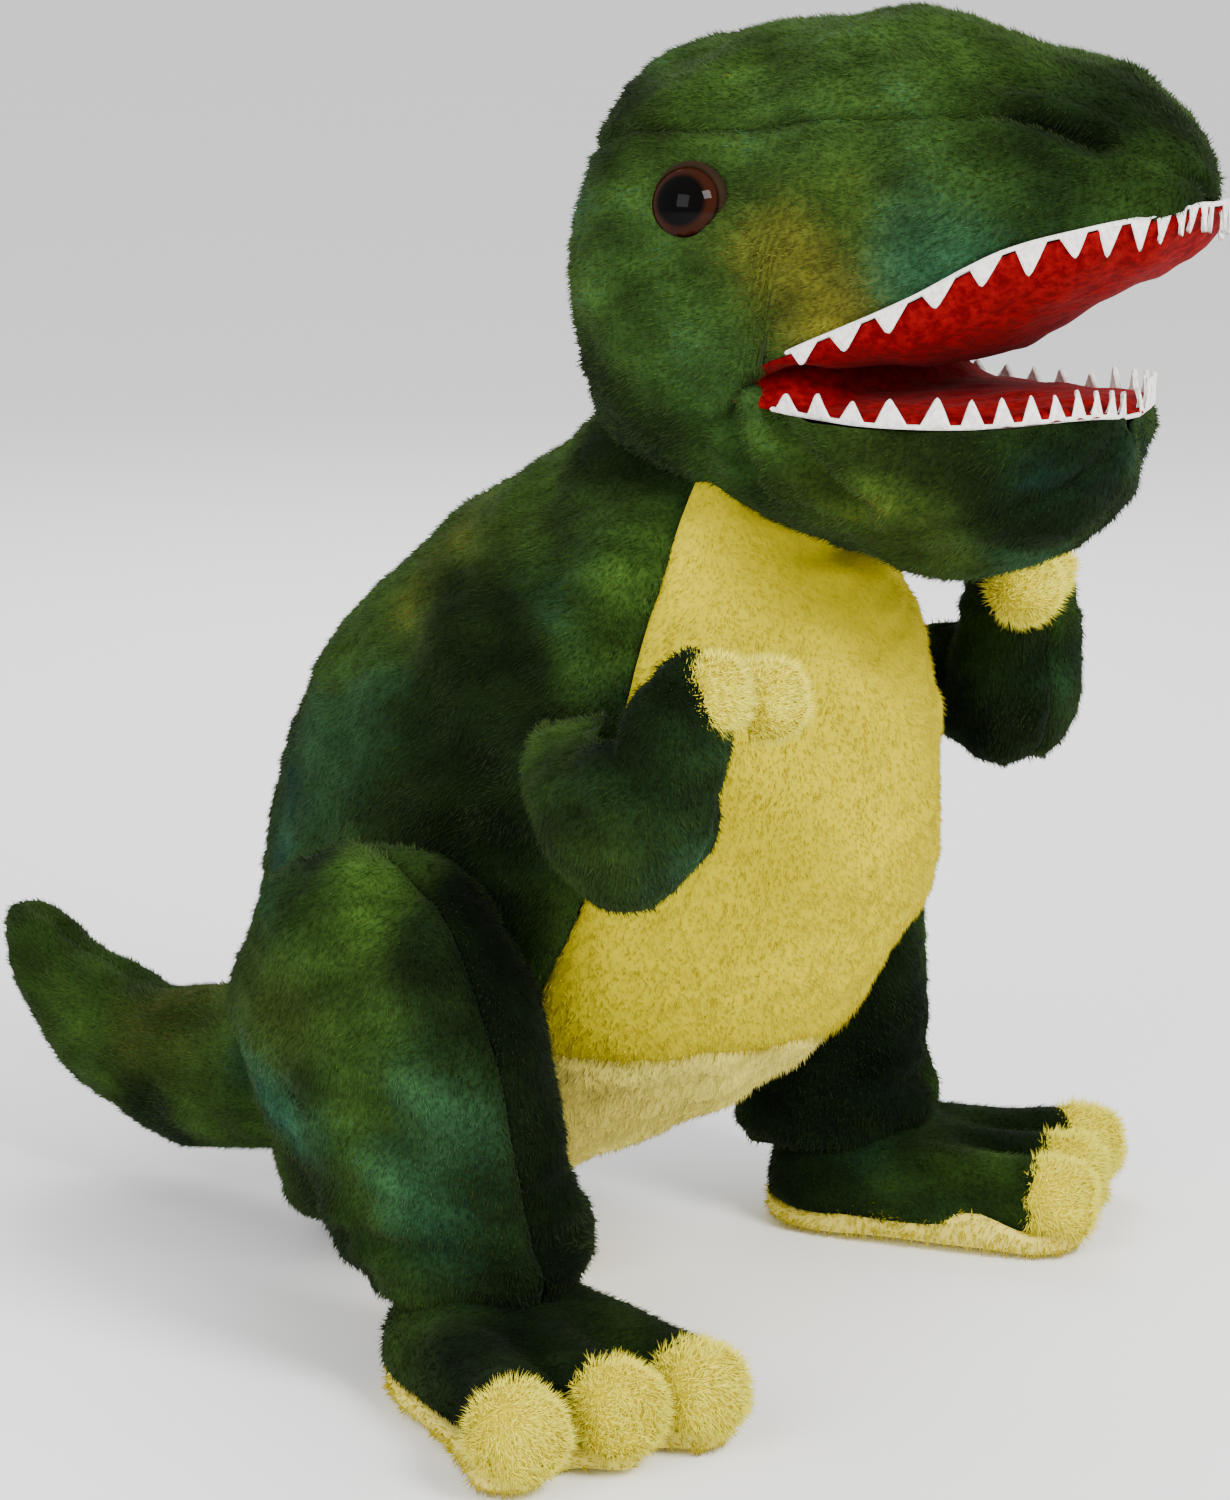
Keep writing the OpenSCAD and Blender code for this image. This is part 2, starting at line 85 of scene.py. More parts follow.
class Wire:
    # a socket in a node tree; * adds a Math node, and inputs are named, or numbered as _0, _1
    def __init__(self, tree, socket):
        self.tree, self.socket = tree, socket

    def node(self, kind, settings=None, **values):
        made = self.tree.nodes.new(kind)
        for key, value in (settings or {}).items():
            setattr(made, key, value)
        for key, value in values.items():
            socket = made.inputs[int(key[1:])] if key[0] == "_" else made.inputs[key.replace("_", " ")]
            if isinstance(value, Wire):
                self.tree.links.new(value.socket, socket)
            else:
                socket.default_value = value
        return made

    def out(self, made, name=0):
        return Wire(self.tree, made.outputs[name])

    def __mul__(self, other):
        return self.out(self.node("ShaderNodeMath", dict(operation="MULTIPLY"), _0=self, _1=other))

    def between(self, low, high):
        made = self.node("ShaderNodeMapRange", dict(interpolation_type="SMOOTHSTEP"), _0=self, _1=low, _2=high)
        return self.out(made)

    def noise(self, scale, detail=3.0, rough=.6):
        made = self.node("ShaderNodeTexNoise", None, Vector=self, Scale=scale, Detail=detail, Roughness=rough)
        return self.out(made)

    def blendOf(self, first, second, factor, mode="MIX"):
        made = self.tree.nodes.new("ShaderNodeMix")
        made.data_type, made.blend_type = "RGBA", mode
        for index, value in ((0, factor), (6, first), (7, second)):
            if isinstance(value, Wire):
                self.tree.links.new(value.socket, made.inputs[index])
            elif index == 0:
                made.inputs[0].default_value = value
            else:
                made.inputs[index].default_value = (*value, 1)
        return Wire(self.tree, made.outputs[2])


def tint(r, g, b):
    # an 8-bit screen colour turned into linear light
    c = np.array([r, g, b], float) / 255
    return tuple(np.where(c <= .04045, c / 12.92, ((c + .055) / 1.055) ** 2.4))


def finish(name, roughness=.8, sheen=0.0, coat=0.0, sheenTint=(1, 1, 1), specular=.3):
    # a material and the wire that its maths starts from
    made = bpy.data.materials.new(name)
    made.use_nodes = True
    shader = made.node_tree.nodes["Principled BSDF"]
    shader.inputs["Roughness"].default_value = roughness
    shader.inputs["Sheen Weight"].default_value = sheen
    shader.inputs["Sheen Roughness"].default_value = .45
    shader.inputs["Sheen Tint"].default_value = (*sheenTint, 1)
    shader.inputs["Coat Weight"].default_value = coat
    shader.inputs["Coat Roughness"].default_value = .03
    shader.inputs["Specular IOR Level"].default_value = specular
    start = Wire(made.node_tree, None)
    place = start.out(start.node("ShaderNodeTexCoord"), "Object")
    return made, shader, place


def link(wire, shader, socket):
    wire.tree.links.new(wire.socket, shader.inputs[socket])


def bump(place, height, distance, strength=1.0):
    made = place.node("ShaderNodeBump", None, Strength=strength, Distance=distance, Height=height)
    return place.out(made)


def plushSkin(name, dark=.8):
    # backing cloth: its colour comes with the mesh (dye, and on the green also painted highlight and painted shade),
    # and a fibre-sized noise breaks it up
    made, shader, place = finish(name, .9, .02, specular=.03)
    dye = place.out(place.node("ShaderNodeAttribute", dict(attribute_name="dye")), "Color")
    fibre = place.noise(900.0, 2.0)
    link(place.blendOf(dye, (.35, .35, .35), fibre.between(.35, .75) * dark, "MULTIPLY"), shader, "Base Color")
    return made


def plainPile(name, colour, sheen=.35, tipTint=(1, 1, 1)):
    made, shader, _ = finish(name, .8, sheen, specular=.03, sheenTint=tipTint)
    shader.inputs["Base Color"].default_value = (*colour, 1)
    return made


# cloth is worked out in millimetres, with the ankles at y = 0, until a mesh is made
originBack = 38.5


def toFrame(points):
    return (np.asarray(points, float) - (0, originBack, 0)) / 1000


def along(rows, t):
    # a curve through every row: Catmull-Rom, 0 at the first row and 1 at the last
    rows = np.array(rows, float)
    last = len(rows) - 1
    x = np.clip(t, 0, 1) * last
    k = np.minimum(x.astype(int), last - 1)
    f = (x - k)[..., None]
    a, b, c, d = rows[np.maximum(k - 1, 0)], rows[k], rows[k + 1], rows[np.minimum(k + 2, last)]
    return .5 * (2 * b + (c - a) * f + (2 * a - 5 * b + 4 * c - d) * f ** 2 + (3 * b - a - 3 * c + d) * f ** 3)


def soft(x, e):
    return np.sign(x) * np.abs(x) ** e


def ring(rows, t, v, leans=False, e=.9):
    # a ring across the middle plane: half width times sin v, reach times cos v; leaning puts the reach along -Y
    s = along(rows, t)
    r = np.where(np.cos(v) >= 0, s[..., 2], s[..., 3]) * soft(np.cos(v), e)
    x = s[..., 4] * soft(np.sin(v), e)
    if leans:
        return np.stack([x, s[..., 0] - r, s[..., 1] + 0 * r], -1)
    return np.stack([x, s[..., 0] + 0 * r, s[..., 1] + r], -1)


def unit(a):
    a = np.asarray(a, float)
    return a / (np.linalg.norm(a, axis=-1, keepdims=True) + 1e-12)


def waves(p, size, seed, count=7):
    # smooth seeded noise: the mean of sines that run in random directions, about -1 to 1
    rng = np.random.default_rng(seed)
    k = unit(rng.normal(size=(count, 3))) * rng.uniform(.7, 1.5, (count, 1)) * 2 * np.pi / size
    return np.sin(p @ k.T + rng.uniform(0, 6.28, count)).mean(-1) * 1.9


def grid(count, low=0.0, high=1.0):
    return np.linspace(low, high, count)


def normalsOf(points, facing=None):
    du, dv = np.gradient(points, axis=0), np.gradient(points, axis=1)
    n = unit(np.cross(du, dv))
    towards = points - points.mean((0, 1)) if facing is None else np.broadcast_to(facing, points.shape)
    return n if (n * towards).sum() > 0 else -n


def nearSegment(p, a, b):
    # distance to the segment from a to b
    a, b = np.asarray(a, float), np.asarray(b, float)
    t = np.clip(((p - a) @ (b - a)) / ((b - a) @ (b - a)), 0, 1)
    return np.linalg.norm(p - a - t[..., None] * (b - a), axis=-1)


def crumple(points, normals, lumps=.8, size=27.0, seed=1, creases=(), tuck=(1, 1, 1, 1), dip=1.6, reach=2.6):
    # moves a panel along its normals: soft lumps, creases with a raised lip on both sides, edges drawn into the seams
    move = 1.35 * lumps * waves(points, size, seed) + .45 * lumps * waves(points * (1, 1, 2.1), size * .55, seed + 9)
    for a, b, depth, width in creases:
        d = nearSegment(points, a, b)
        move += depth * (-np.exp(-(d / width) ** 2) + .45 * np.exp(-((d - 2.1 * width) / width) ** 2))
    stepU = np.linalg.norm(np.diff(points, axis=0, prepend=points[:1]), axis=-1).cumsum(0)
    stepV = np.linalg.norm(np.diff(points, axis=1, prepend=points[:, :1]), axis=-1).cumsum(1)
    for far, on in zip((stepU, stepU[-1:] - stepU, stepV, stepV[:, -1:] - stepV), tuck):
        if on:
            move -= on * dip * np.exp(-(far / reach) ** 2)
    return points + move[..., None] * normals


def makeMesh(name, points, faces, materials, slots=None):
    # points in metres, faces as one array of rows with 3 or 4 corners
    mesh = bpy.data.meshes.new(name)
    faces = np.asarray(faces, np.int32)
    corners = faces.shape[1]
    mesh.vertices.add(len(points))
    mesh.vertices.foreach_set("co", np.asarray(points, np.float32).ravel())
    mesh.loops.add(faces.size)
    mesh.loops.foreach_set("vertex_index", faces.ravel())
    mesh.polygons.add(len(faces))
    mesh.polygons.foreach_set("loop_start", np.arange(0, faces.size, corners, dtype=np.int32))
    mesh.polygons.foreach_set("loop_total", np.full(len(faces), corners, np.int32))
    for m in materials:
        mesh.materials.append(m)
    if slots is not None:
        mesh.polygons.foreach_set("material_index", np.asarray(slots, np.int32))
    mesh.polygons.foreach_set("use_smooth", np.ones(len(faces), bool))
    mesh.update(calc_edges=True)
    mesh.validate()
    made = bpy.data.objects.new(name, mesh)
    scene.collection.objects.link(made)
    return made


def paintDye(made, dye, points):
    colour = made.data.color_attributes.new("dye", "FLOAT_COLOR", "POINT")
    rgba = np.ones((len(points), 4), np.float32)
    rgba[:, :3] = dye(points)
    colour.data.foreach_set("color", rgba.ravel())


def gridFaces(nu, nv, wrap=False):
    i, j = np.meshgrid(np.arange(nu - 1), np.arange(nv if wrap else nv - 1), indexing="ij")
    a, b = i * nv + j, i * nv + (j + 1) % nv
    return np.stack([a, b, b + nv, a + nv], -1).reshape(-1, 4)


def shell(name, points, normals, material, dye=None, thick=1.2, wrap=False):
    # a cloth panel: the grid, the same grid drawn in by its thickness, and walls round the open rims
    nu, nv = points.shape[:2]
    outer = points.reshape(-1, 3)
    both = np.vstack([outer, outer - thick * normals.reshape(-1, 3)])
    faces = gridFaces(nu, nv, wrap)
    quad = both[faces[len(faces) // 2]]
    flip = np.cross(quad[1] - quad[0], quad[3] - quad[0]) @ normals.reshape(-1, 3)[faces[len(faces) // 2][0]] < 0
    faces = faces[:, ::-1] if flip else faces
    n = nu * nv
    if wrap:
        rims = [np.append(np.arange(nv), 0), np.append(np.arange(nv), 0)[::-1] + (nu - 1) * nv]
    else:
        rims = [np.concatenate([np.arange(nv), np.arange(1, nu) * nv + nv - 1,
                                np.arange(nv - 2, -1, -1) + (nu - 1) * nv, np.arange(nu - 2, -1, -1) * nv])]
    walls = []
    for r in rims:
        a, b = r[:-1], r[1:]
        w = np.stack([a, b, b + n, a + n], -1)
        walls.append(w if flip else w[:, ::-1])
    made = makeMesh(name, toFrame(both), np.vstack([faces, faces[:, ::-1] + n] + walls), [material])
    if dye is not None:
        paintDye(made, dye, both)
    return made


def solid(name, points, material, dye=None):
    # a closed form from a grid that wraps round in v, its two ends shut with a fan to their middles
    nu, nv = points.shape[:2]
    outer = points.reshape(-1, 3)
    both = np.vstack([outer, points[0].mean(0), points[-1].mean(0)])
    quads = gridFaces(nu, nv, True)
    j = np.arange(nv)
    k = (j + 1) % nv
    first = np.stack([k, j, np.full(nv, nu * nv)], -1)
    last = np.stack([j + (nu - 1) * nv, k + (nu - 1) * nv, np.full(nv, nu * nv + 1)], -1)
    tris = np.vstack([quads[:, [0, 1, 2]], quads[:, [0, 2, 3]], first, last])
    v = both[tris]
    if np.einsum("ij,ij->i", v[:, 0] - both.mean(0), np.cross(v[:, 1] - both.mean(0), v[:, 2] - both.mean(0))).sum() < 0:
        tris = tris[:, ::-1]
    made = makeMesh(name, toFrame(both), tris, [material])
    if dye is not None:
        paintDye(made, dye, both)
    return made


print("cloth kit")

# the dyes of the nap, and spots of painted light and shade among them
greens = dict(bottle=tint(12, 24, 7), mid=tint(42, 64, 20), olive=tint(100, 93, 28), teal=tint(40, 82, 58),
              blue=tint(16, 46, 46), light=tint(70, 95, 38))
greenNames = list(greens)
greenTable = np.array([greens[k] for k in greenNames])
# middle, reach and how much of each dye it adds: bottle, mid, olive, teal, blue, light
# some spots are painted light, not dye: the pale spot on top of the head is a painted highlight; the dark bottle-green
# spots in the snout's crease, under the jaw, under and behind the arms, between the legs and the body, where the tail
# meets it and over the feet, and the dark teal and blue spot on the lower back, are painted shade; the olive and teal
# patches elsewhere are dye
dyeSpots = [
    ((48, -66, 286), 22, (.05, .35, 1.5, 0, 0, .1)), ((46, -80, 268), 16, (.05, .4, 1.2, 0, 0, .1)),
    ((44, -98, 284), 18, (.1, .5, .3, 1.0, 0, .1)),
    ((27, -127, 318), 9, (2.4, 0, 0, 0, 0, 0)), ((40, -60, 322), 16, (.2, .5, .1, 1.0, 0, .3)),
    ((46, -40, 255), 24, (.2, .9, 0, .6, 0, .3)), ((50, -20, 285), 28, (.1, 1.2, .2, .5, 0, .5)),
    ((30, -60, 330), 40, (.1, 1.2, .2, .5, 0, .9)), ((40, -125, 300), 26, (.5, 1.1, .2, .4, 0, .1)),
    ((36, -112, 275), 18, (.3, .6, 0, 1.2, .1, .2)), ((20, -145, 305), 18, (.7, .9, 0, .2, 0, 0)),
    ((42, -85, 225), 26, (.5, 1.2, .7, 0, 0, 0)), ((24, -125, 232), 14, (1.2, 0, 0, .3, .8, 0)),
    ((30, -50, 222), 18, (.8, .7, 0, .4, .2, 0)), ((40, 40, 190), 30, (.3, 1, .7, .1, 0, 0)),
    ((62, 60, 150), 34, (.4, .7, .1, .7, .5, 0)), ((55, 92, 110), 36, (.6, .2, 0, .7, .8, 0)),
    ((60, 20, 140), 30, (1.3, .3, .1, 0, .2, 0)), ((62, 50, 100), 26, (1.1, .5, .4, 0, 0, 0)),
    ((118, 30, 95), 24, (.5, .8, .4, .2, .1, 0)), ((116, 5, 70), 22, (.3, .8, .1, 1, .2, .2)),
    ((112, -6, 48), 20, (.5, .5, 0, .9, .5, .1)), ((70, 0, 60), 26, (1.8, .2, 0, 0, .1, 0)),
    ((110, -40, 15), 40, (2.1, .35, .1, 0, .15, 0)), ((100, -48, 150), 24, (.9, .7, .2, .2, .2, 0)),
    ((80, -62, 160), 18, (.8, .5, 0, .4, .3, 0)), ((12, 150, 60), 26, (.6, .9, .6, 0, 0, 0)),
    ((12, 215, 60), 24, (.8, .9, .1, 0, 0, 0)), ((30, 110, 50), 26, (1.0, .3, 0, .5, .7, 0)),
]


def mottle(p):
    # tie-dyed green with painted light and shade: shares of the dyes from seeded waves, leaned towards the spots above,
    # of which some are painted highlight and painted shade
    p = np.asarray(p, float)
    q = np.stack([np.abs(p[:, 0]), p[:, 1], p[:, 2]], -1)
    drift = p + 9 * np.stack([waves(p, 70, 41), waves(p, 70, 42), waves(p, 70, 43)], -1)
    base = np.array([.95, .8, .1, .25, .25, .05])
    share = np.stack([base[k] * np.exp(1.15 * waves(drift, (62, 48, 44, 52, 58, 36)[k], 50 + k)) for k in range(6)], -1)
    for middle, reach, adds in dyeSpots:
        near = np.exp(-(((q - middle) ** 2).sum(-1)) / reach ** 2)
        share = share * (1 - .72 * near[:, None]) + near[:, None] * np.array(adds) * (1.1 + .6 * waves(p, 30, 77)[:, None])
    share = np.clip(share, 0, None) ** 2.6
    colour = (share @ greenTable) / share.sum(-1, keepdims=True)
    return colour * np.exp(.34 * waves(p, 24, 91) + .2 * waves(p, 10, 92))[:, None]


def yellowDye(p):
    p = np.asarray(p, float)
    return np.array(tint(186, 171, 4)) * (1 + .1 * waves(p, 40, 11) + .05 * waves(p, 14, 12))[:, None]


def creamDye(p):
    p = np.asarray(p, float)
    return np.array(tint(218, 202, 88)) * (1 + .05 * waves(p, 30, 13))[:, None]


greenSkin = plushSkin("greenPlush")
yellowSkin, creamSkin, capSkin = (plushSkin(n, .25) for n in ("yellowPlush", "creamPlush", "capPlush"))
# green nap comes in one or two dyes, each at three strengths, dark to light, for random fibre tone, painted sheen and
# painted shade
mixes = [("bottle", None), ("bottle", "mid"), ("bottle", "blue"), ("mid", None), ("mid", "olive"), ("mid", "teal"),
         ("olive", None), ("teal", "blue")]
greenPile, greenPileColours = [], []
for a, b in mixes:
    for k, share in enumerate((.62, 1.0, 1.5)):
        colour = np.array(greens[a]) if b is None else (np.array(greens[a]) + np.array(greens[b])) / 2
        greenPileColours.append(colour * share)
        greenPile.append(plainPile("pile" + a.title() + (b or "").title() + str(k), colour * share, .05, (.7, 1, .4)))


def capDye(p):
    return np.array(tint(238, 226, 64)) * (1 + .08 * waves(p, 6, 15))[:, None]


def lightPile(name, tints, tipTint):
    colours = [np.array(tint(*c)) for c in tints]
    return dict(materials=[plainPile(name + str(k), c, .03, tipTint) for k, c in enumerate(colours)], colours=colours)


yellowPile = lightPile("pileYellow", ((188, 170, 6), (208, 190, 14), (224, 208, 28), (238, 224, 62)), (1, 1, .3))
capPile = lightPile("pileCap", ((222, 208, 40), (240, 228, 70), (250, 244, 124)), (1, 1, .3))
creamPile = lightPile("pileCream", ((214, 200, 92), (230, 218, 116), (244, 236, 150)), (1, 1, .5))
# thick: fibres per square millimetre; lie: how flat they lie; spread: how unruly; the last pair: the range of
# lightness, random fibre tone whose lighter end is a painted sheen of tips catching the light
nap = dict(
    green=dict(dye=mottle, materials=greenPile, colours=greenPileColours,
               thick=1.15, length=2.3, width=.5, lie=1.3, spread=.36, toneAndSheen=(.62, 1.5)),
    yellow=dict(dye=yellowDye, **yellowPile, thick=1.0, length=1.9, width=.5, lie=1.3, spread=.34, toneAndSheen=(.9, 1.12)),
    cream=dict(dye=creamDye, **creamPile, thick=.9, length=2.5, width=.5, lie=1.2, spread=.36, toneAndSheen=(.88, 1.14)),
    cap=dict(dye=capDye, **capPile, thick=3.0, length=3.4, width=.42, lie=.6, spread=.55, toneAndSheen=(.86, 1.2)),
)


def pile(name, corners, kind, flow=(0, .25, -1), seed=5, longer=None, **changes):
    # nap on triangles: corners is an array of triangles in millimetres. Roots are spread evenly by area; each fibre
    # tuft is a thin spike, its tip at root + length (normal + lie flow + spread random)
    s = {**nap[kind], **changes}
    rng = np.random.default_rng(seed)
    a, b, c = corners[:, 0], corners[:, 1], corners[:, 2]
    across = np.cross(b - a, c - a)
    area = np.linalg.norm(across, axis=-1) / 2
    count = int(area.sum() * s["thick"])
    pick = rng.choice(len(area), count, p=area / area.sum())
    r1, r2 = np.sqrt(rng.random(count)), rng.random(count)
    root = (1 - r1)[:, None] * a[pick] + (r1 * (1 - r2))[:, None] * b[pick] + (r1 * r2)[:, None] * c[pick]
    up = unit(across[pick])
    lying = np.broadcast_to(np.asarray(flow, float), up.shape)
    lying = lying + .5 * np.stack([waves(root, 26, 61), waves(root, 26, 62), waves(root, 26, 63)], -1)
    lying = lying - (lying * up).sum(-1, keepdims=True) * up
    lying = lying / np.maximum(np.linalg.norm(lying, axis=-1, keepdims=True), .35)
    aim = unit(.62 * up + s["lie"] * lying + s["spread"] * rng.normal(size=up.shape) * .6)
    sunk = (aim * up).sum(-1, keepdims=True)
    aim = unit(aim + np.maximum(.16 - sunk, 0) * up)
    length = s["length"] * rng.uniform(.65, 1.25, count)
    if longer is not None:
        length = length * longer(root)
    wide = unit(np.cross(aim, up) + 1e-6) * s["width"] * rng.uniform(.7, 1.3, count)[:, None]
    thin = unit(np.cross(wide, aim)) * s["width"] * .35
    low = root - .5 * up
    points = np.stack([low - wide / 2, low + wide / 2, low + thin, root + aim * length[:, None]], 1)
    base = np.arange(count)[:, None] * 4
    faces = np.concatenate([base + f for f in ([0, 1, 3], [1, 2, 3], [2, 0, 3], [0, 2, 1])], 1).reshape(-1, 3)
    v = points.reshape(-1, 3)[faces[:4]]
    if np.einsum("ij,ij->i", v[:, 0] - points[0].mean(0), np.cross(v[:, 1] - v[:, 0], v[:, 2] - v[:, 0])).sum() < 0:
        faces = faces[:, ::-1]
    # each tuft's colour is scaled at random: fibre tone, and the lighter tufts are a painted sheen of tips catching the
    # light
    want = s["dye"](root) * rng.uniform(*s["toneAndSheen"], count)[:, None]
    table = np.array(s["colours"])
    best = np.zeros(count, np.int32)
    least = np.full(count, 1e9)
    for k, colour in enumerate(table):
        off = ((np.sqrt(want) - np.sqrt(colour)) ** 2).sum(-1)
        best, least = np.where(off < least, k, best), np.minimum(off, least)
    return makeMesh(name, toFrame(points.reshape(-1, 3)), faces, s["materials"], np.repeat(best, 4))


def trisOf(points, normals, wrap=False):
    # a grid's outer triangles, wound so that they face along the normals
    nu, nv = points.shape[:2]
    q = gridFaces(nu, nv, wrap)
    t = points.reshape(-1, 3)[np.vstack([q[:, [0, 1, 2]], q[:, [0, 2, 3]]])]
    n = normals.reshape(-1, 3)[np.concatenate([q[:, 0], q[:, 0]])]
    wrong = (np.cross(t[:, 1] - t[:, 0], t[:, 2] - t[:, 0]) * n).sum(-1) < 0
    t[wrong] = t[wrong][:, ::-1]
    return t


def join(body, slotName, made, *nodes, fill=None, bend=None):
    for o in made:
        if bend:
            toFrame(bend[1])
            toFrame(bend[2])
            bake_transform(o)
        else:
            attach(o, body)
    if nodes:
        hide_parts(*nodes)


def dress(body, slotName, skin, fur, *nodes, **how):
    # a skin, which stands for the named nodes, and the nap that grows on it
    join(body, slotName, [skin], *nodes, **how)
    join(body, slotName, [fur], **how)


def mirror(points, side):
    return points * (side, 1, 1)


def bothSides(creases):
    # each crease on the left side, after its mirror image
    return [((s * a[0], *a[1:]), (s * b[0], *b[1:]), depth, width) for a, b, depth, width in creases for s in (-1, 1)]


torso = dict(
    rows=[[-17, 246, 22, 24, 22], [-17, 234, 31, 36, 33], [-13, 217, 39, 56, 45], [-6, 200, 55, 74, 54],
          [3, 176, 74, 92, 62], [11, 150, 87, 99, 64.5], [19, 122, 94, 101, 61.5], [29, 94, 90, 97, 60.5],
          [44, 64, 76, 86, 57], [64, 36, 46, 62, 48], [84, 14, 22, 34, 36], [92, 6, 8, 14, 14]],
    top=.02, bellyTop=.1, bellyEnd=.68, bottom=.985,
    throat=[((-30, -45, 222), (30, -45, 222), 1.6, 3.5), ((-36, -56, 209), (30, -58, 207), 1.3, 3.2)],
    hips=[((-58, -18, 128), (-62, 20, 138), 2.2, 5), ((-62, 0, 150), (-60, 45, 160), 1.6, 6),
          ((-50, 60, 190), (-62, 30, 168), 1.4, 6), ((-58, 85, 150), (-40, 104, 165), 1.2, 5),
          ((-46, 100, 60), (-58, 62, 40), 1.6, 5), ((-30, 110, 78), (-54, 92, 96), 1.2, 5)],
)


def bellyEdge(u):
    # the belly panel's edge, as an angle from the front
    down = np.clip((u - torso["bellyTop"]) / (torso["bellyEnd"] - torso["bellyTop"]), 0, 1)
    under = np.clip((u - torso["bellyEnd"]) / (torso["bottom"] - torso["bellyEnd"]), 0, 1)
    return np.radians(60 + 12 * down - 22 * under)


def torsoPanel(u0, u1, edgeLow, edgeHigh, nu, nv, seed, creases, tuck, lumps):
    u = grid(nu, u0, u1)[:, None] * np.ones(nv)
    w = grid(nv)[None, :]
    v = edgeLow(u) * (1 - w) + edgeHigh(u) * w
    p = ring(torso["rows"], u, v, True, 1)
    n = normalsOf(p, None)
    p = crumple(p, n, lumps, 30, seed, creases, tuck)
    return p, normalsOf(p)


for side, word in ((-1, "Right"), (1, "Left")):
    creases = [((a[0] * -side, a[1], a[2]), (b[0] * -side, b[1], b[2]), d, w) for a, b, d, w in torso["hips"]]
    p, n = torsoPanel(torso["top"], torso["bottom"], lambda u: side * bellyEdge(u),
                      lambda u: np.full_like(u, side * np.pi), 110, 80, 21, creases, (0, 0, 1, 1), 1.0)
    node = "torso_side_" + word.lower()
    skin = shell("torsoSide" + word, p, n, greenSkin, mottle)
    fur = pile("napTorso" + word, trisOf(p, n), "green", (0, .55, -1), 31 + side)
    dress("torso", "green_plush", skin, fur, node, *(["torso_stuffing"] if side < 0 else []), fill=.75)
p, n = torsoPanel(torso["bellyTop"] - .03, torso["bellyEnd"] + .012, lambda u: -bellyEdge(u), bellyEdge, 90, 90, 22,
                  torso["throat"], (0, 1, 1, 1), .9)
skin = shell("bellyPanel", p, n, yellowSkin, yellowDye)
fur = pile("napBelly", trisOf(p, n), "yellow", (0, 0, -1), 33,
           longer=lambda q: 1 + 1.1 * np.exp(-((q[:, 2] - 74) / 7) ** 2) + .25 * (np.abs(q[:, 0]) > 55))
dress("torso", "belly_plush", skin, fur, "belly_panel", fill=.8)
p, n = torsoPanel(torso["bellyEnd"], torso["bottom"], lambda u: -bellyEdge(u), bellyEdge, 50, 70, 23,
                  [((-30, -30, 66), (-34, 0, 52), 1.2, 4)], (1, 0, 1, 1), 1.0)
skin = shell("underbellyPanel", p, n, creamSkin, creamDye)
fur = pile("napUnderbelly", trisOf(p, n), "cream", (0, .6, -1), 34)
dress("torso", "cream_plush", skin, fur, "underbelly_panel", fill=.7)
print("torso")

# the neck inside the hood
neck = dict(radius=31.5, middle=(0, -17, 237))
u, v = np.radians(np.meshgrid(grid(24, 6, 90), grid(48, 0, 360)[:-1], indexing="ij"))
p = neck["middle"] + neck["radius"] * np.stack([np.cos(u) * np.cos(v), np.cos(u) * np.sin(v), np.sin(u)], -1)
neckPad = solid("neckPad", p + .3 * waves(p, 20, 3)[..., None], greenSkin, mottle)
join("neck", "batting", [neckPad], "neck_stuffing", fill=.8)

head = dict(
    rows=[[14.5, 276, .15, .15, .15], [12, 276, 17, 17, 17], [5, 274, 43, 36, 34],
          [-7, 268, 62, 46, 45], [-24, 262, 73, 46, 50.5],
          [-43, 257, 81, 32, 50.5], [-57, 257, 83, 4, 48], [-74, 264, 77, 9, 46], [-96, 274, 63, 16, 42],
          [-118, 286, 46, 16, 36], [-137, 292, 31, 13, 28],
          [-149, 295, 19, 8, 18], [-154, 297, 9, 3, 9], [-156, 297, 2, 1, 2]],
    brow=48, cheek=128,
    creases=bothSides([
        ((33, -112, 322), (24, -137, 313), 4.6, 2.6), ((38, -128, 296), (30, -140, 299), 1.4, 3),
        ((47, -36, 296), (49, -50, 288), -1.8, 7), ((36, -22, 322), (42, -38, 318), -2.4, 9),
        ((50, -30, 262), (50, -44, 250), 1.3, 4), ((46, -4, 262), (50, -22, 252), 1.3, 5),
        ((44, -86, 270), (40, -100, 292), 1.0, 6)]),
)
mouthU = 6.2 / 13
headFlow = (0, 1.0, -.35)


def cheekEdge(u):
    # the lower edge of the head's sides: round to the throat behind the mouth, then up to the lip
    towards = np.clip((u - mouthU + .028) / .04, 0, 1)
    return np.radians(180 - 90 * towards ** .8)


def headPanel(v0, v1, nu, nv, seed, u0, u1, tuck):
    u = grid(nu, u0, u1)[:, None] * np.ones(nv)
    w = grid(nv)[None, :]
    v = v0(u) * (1 - w) + v1(u) * w
    p = ring(head["rows"], u, v)
    n = normalsOf(p, p - np.stack([0 * p[..., 0], p[..., 1], np.full_like(p[..., 0], 275)], -1))
    p = crumple(p, n, 1.1, 30, seed, head["creases"], tuck, 2.4, 2.4)
    return p, normalsOf(p, n)


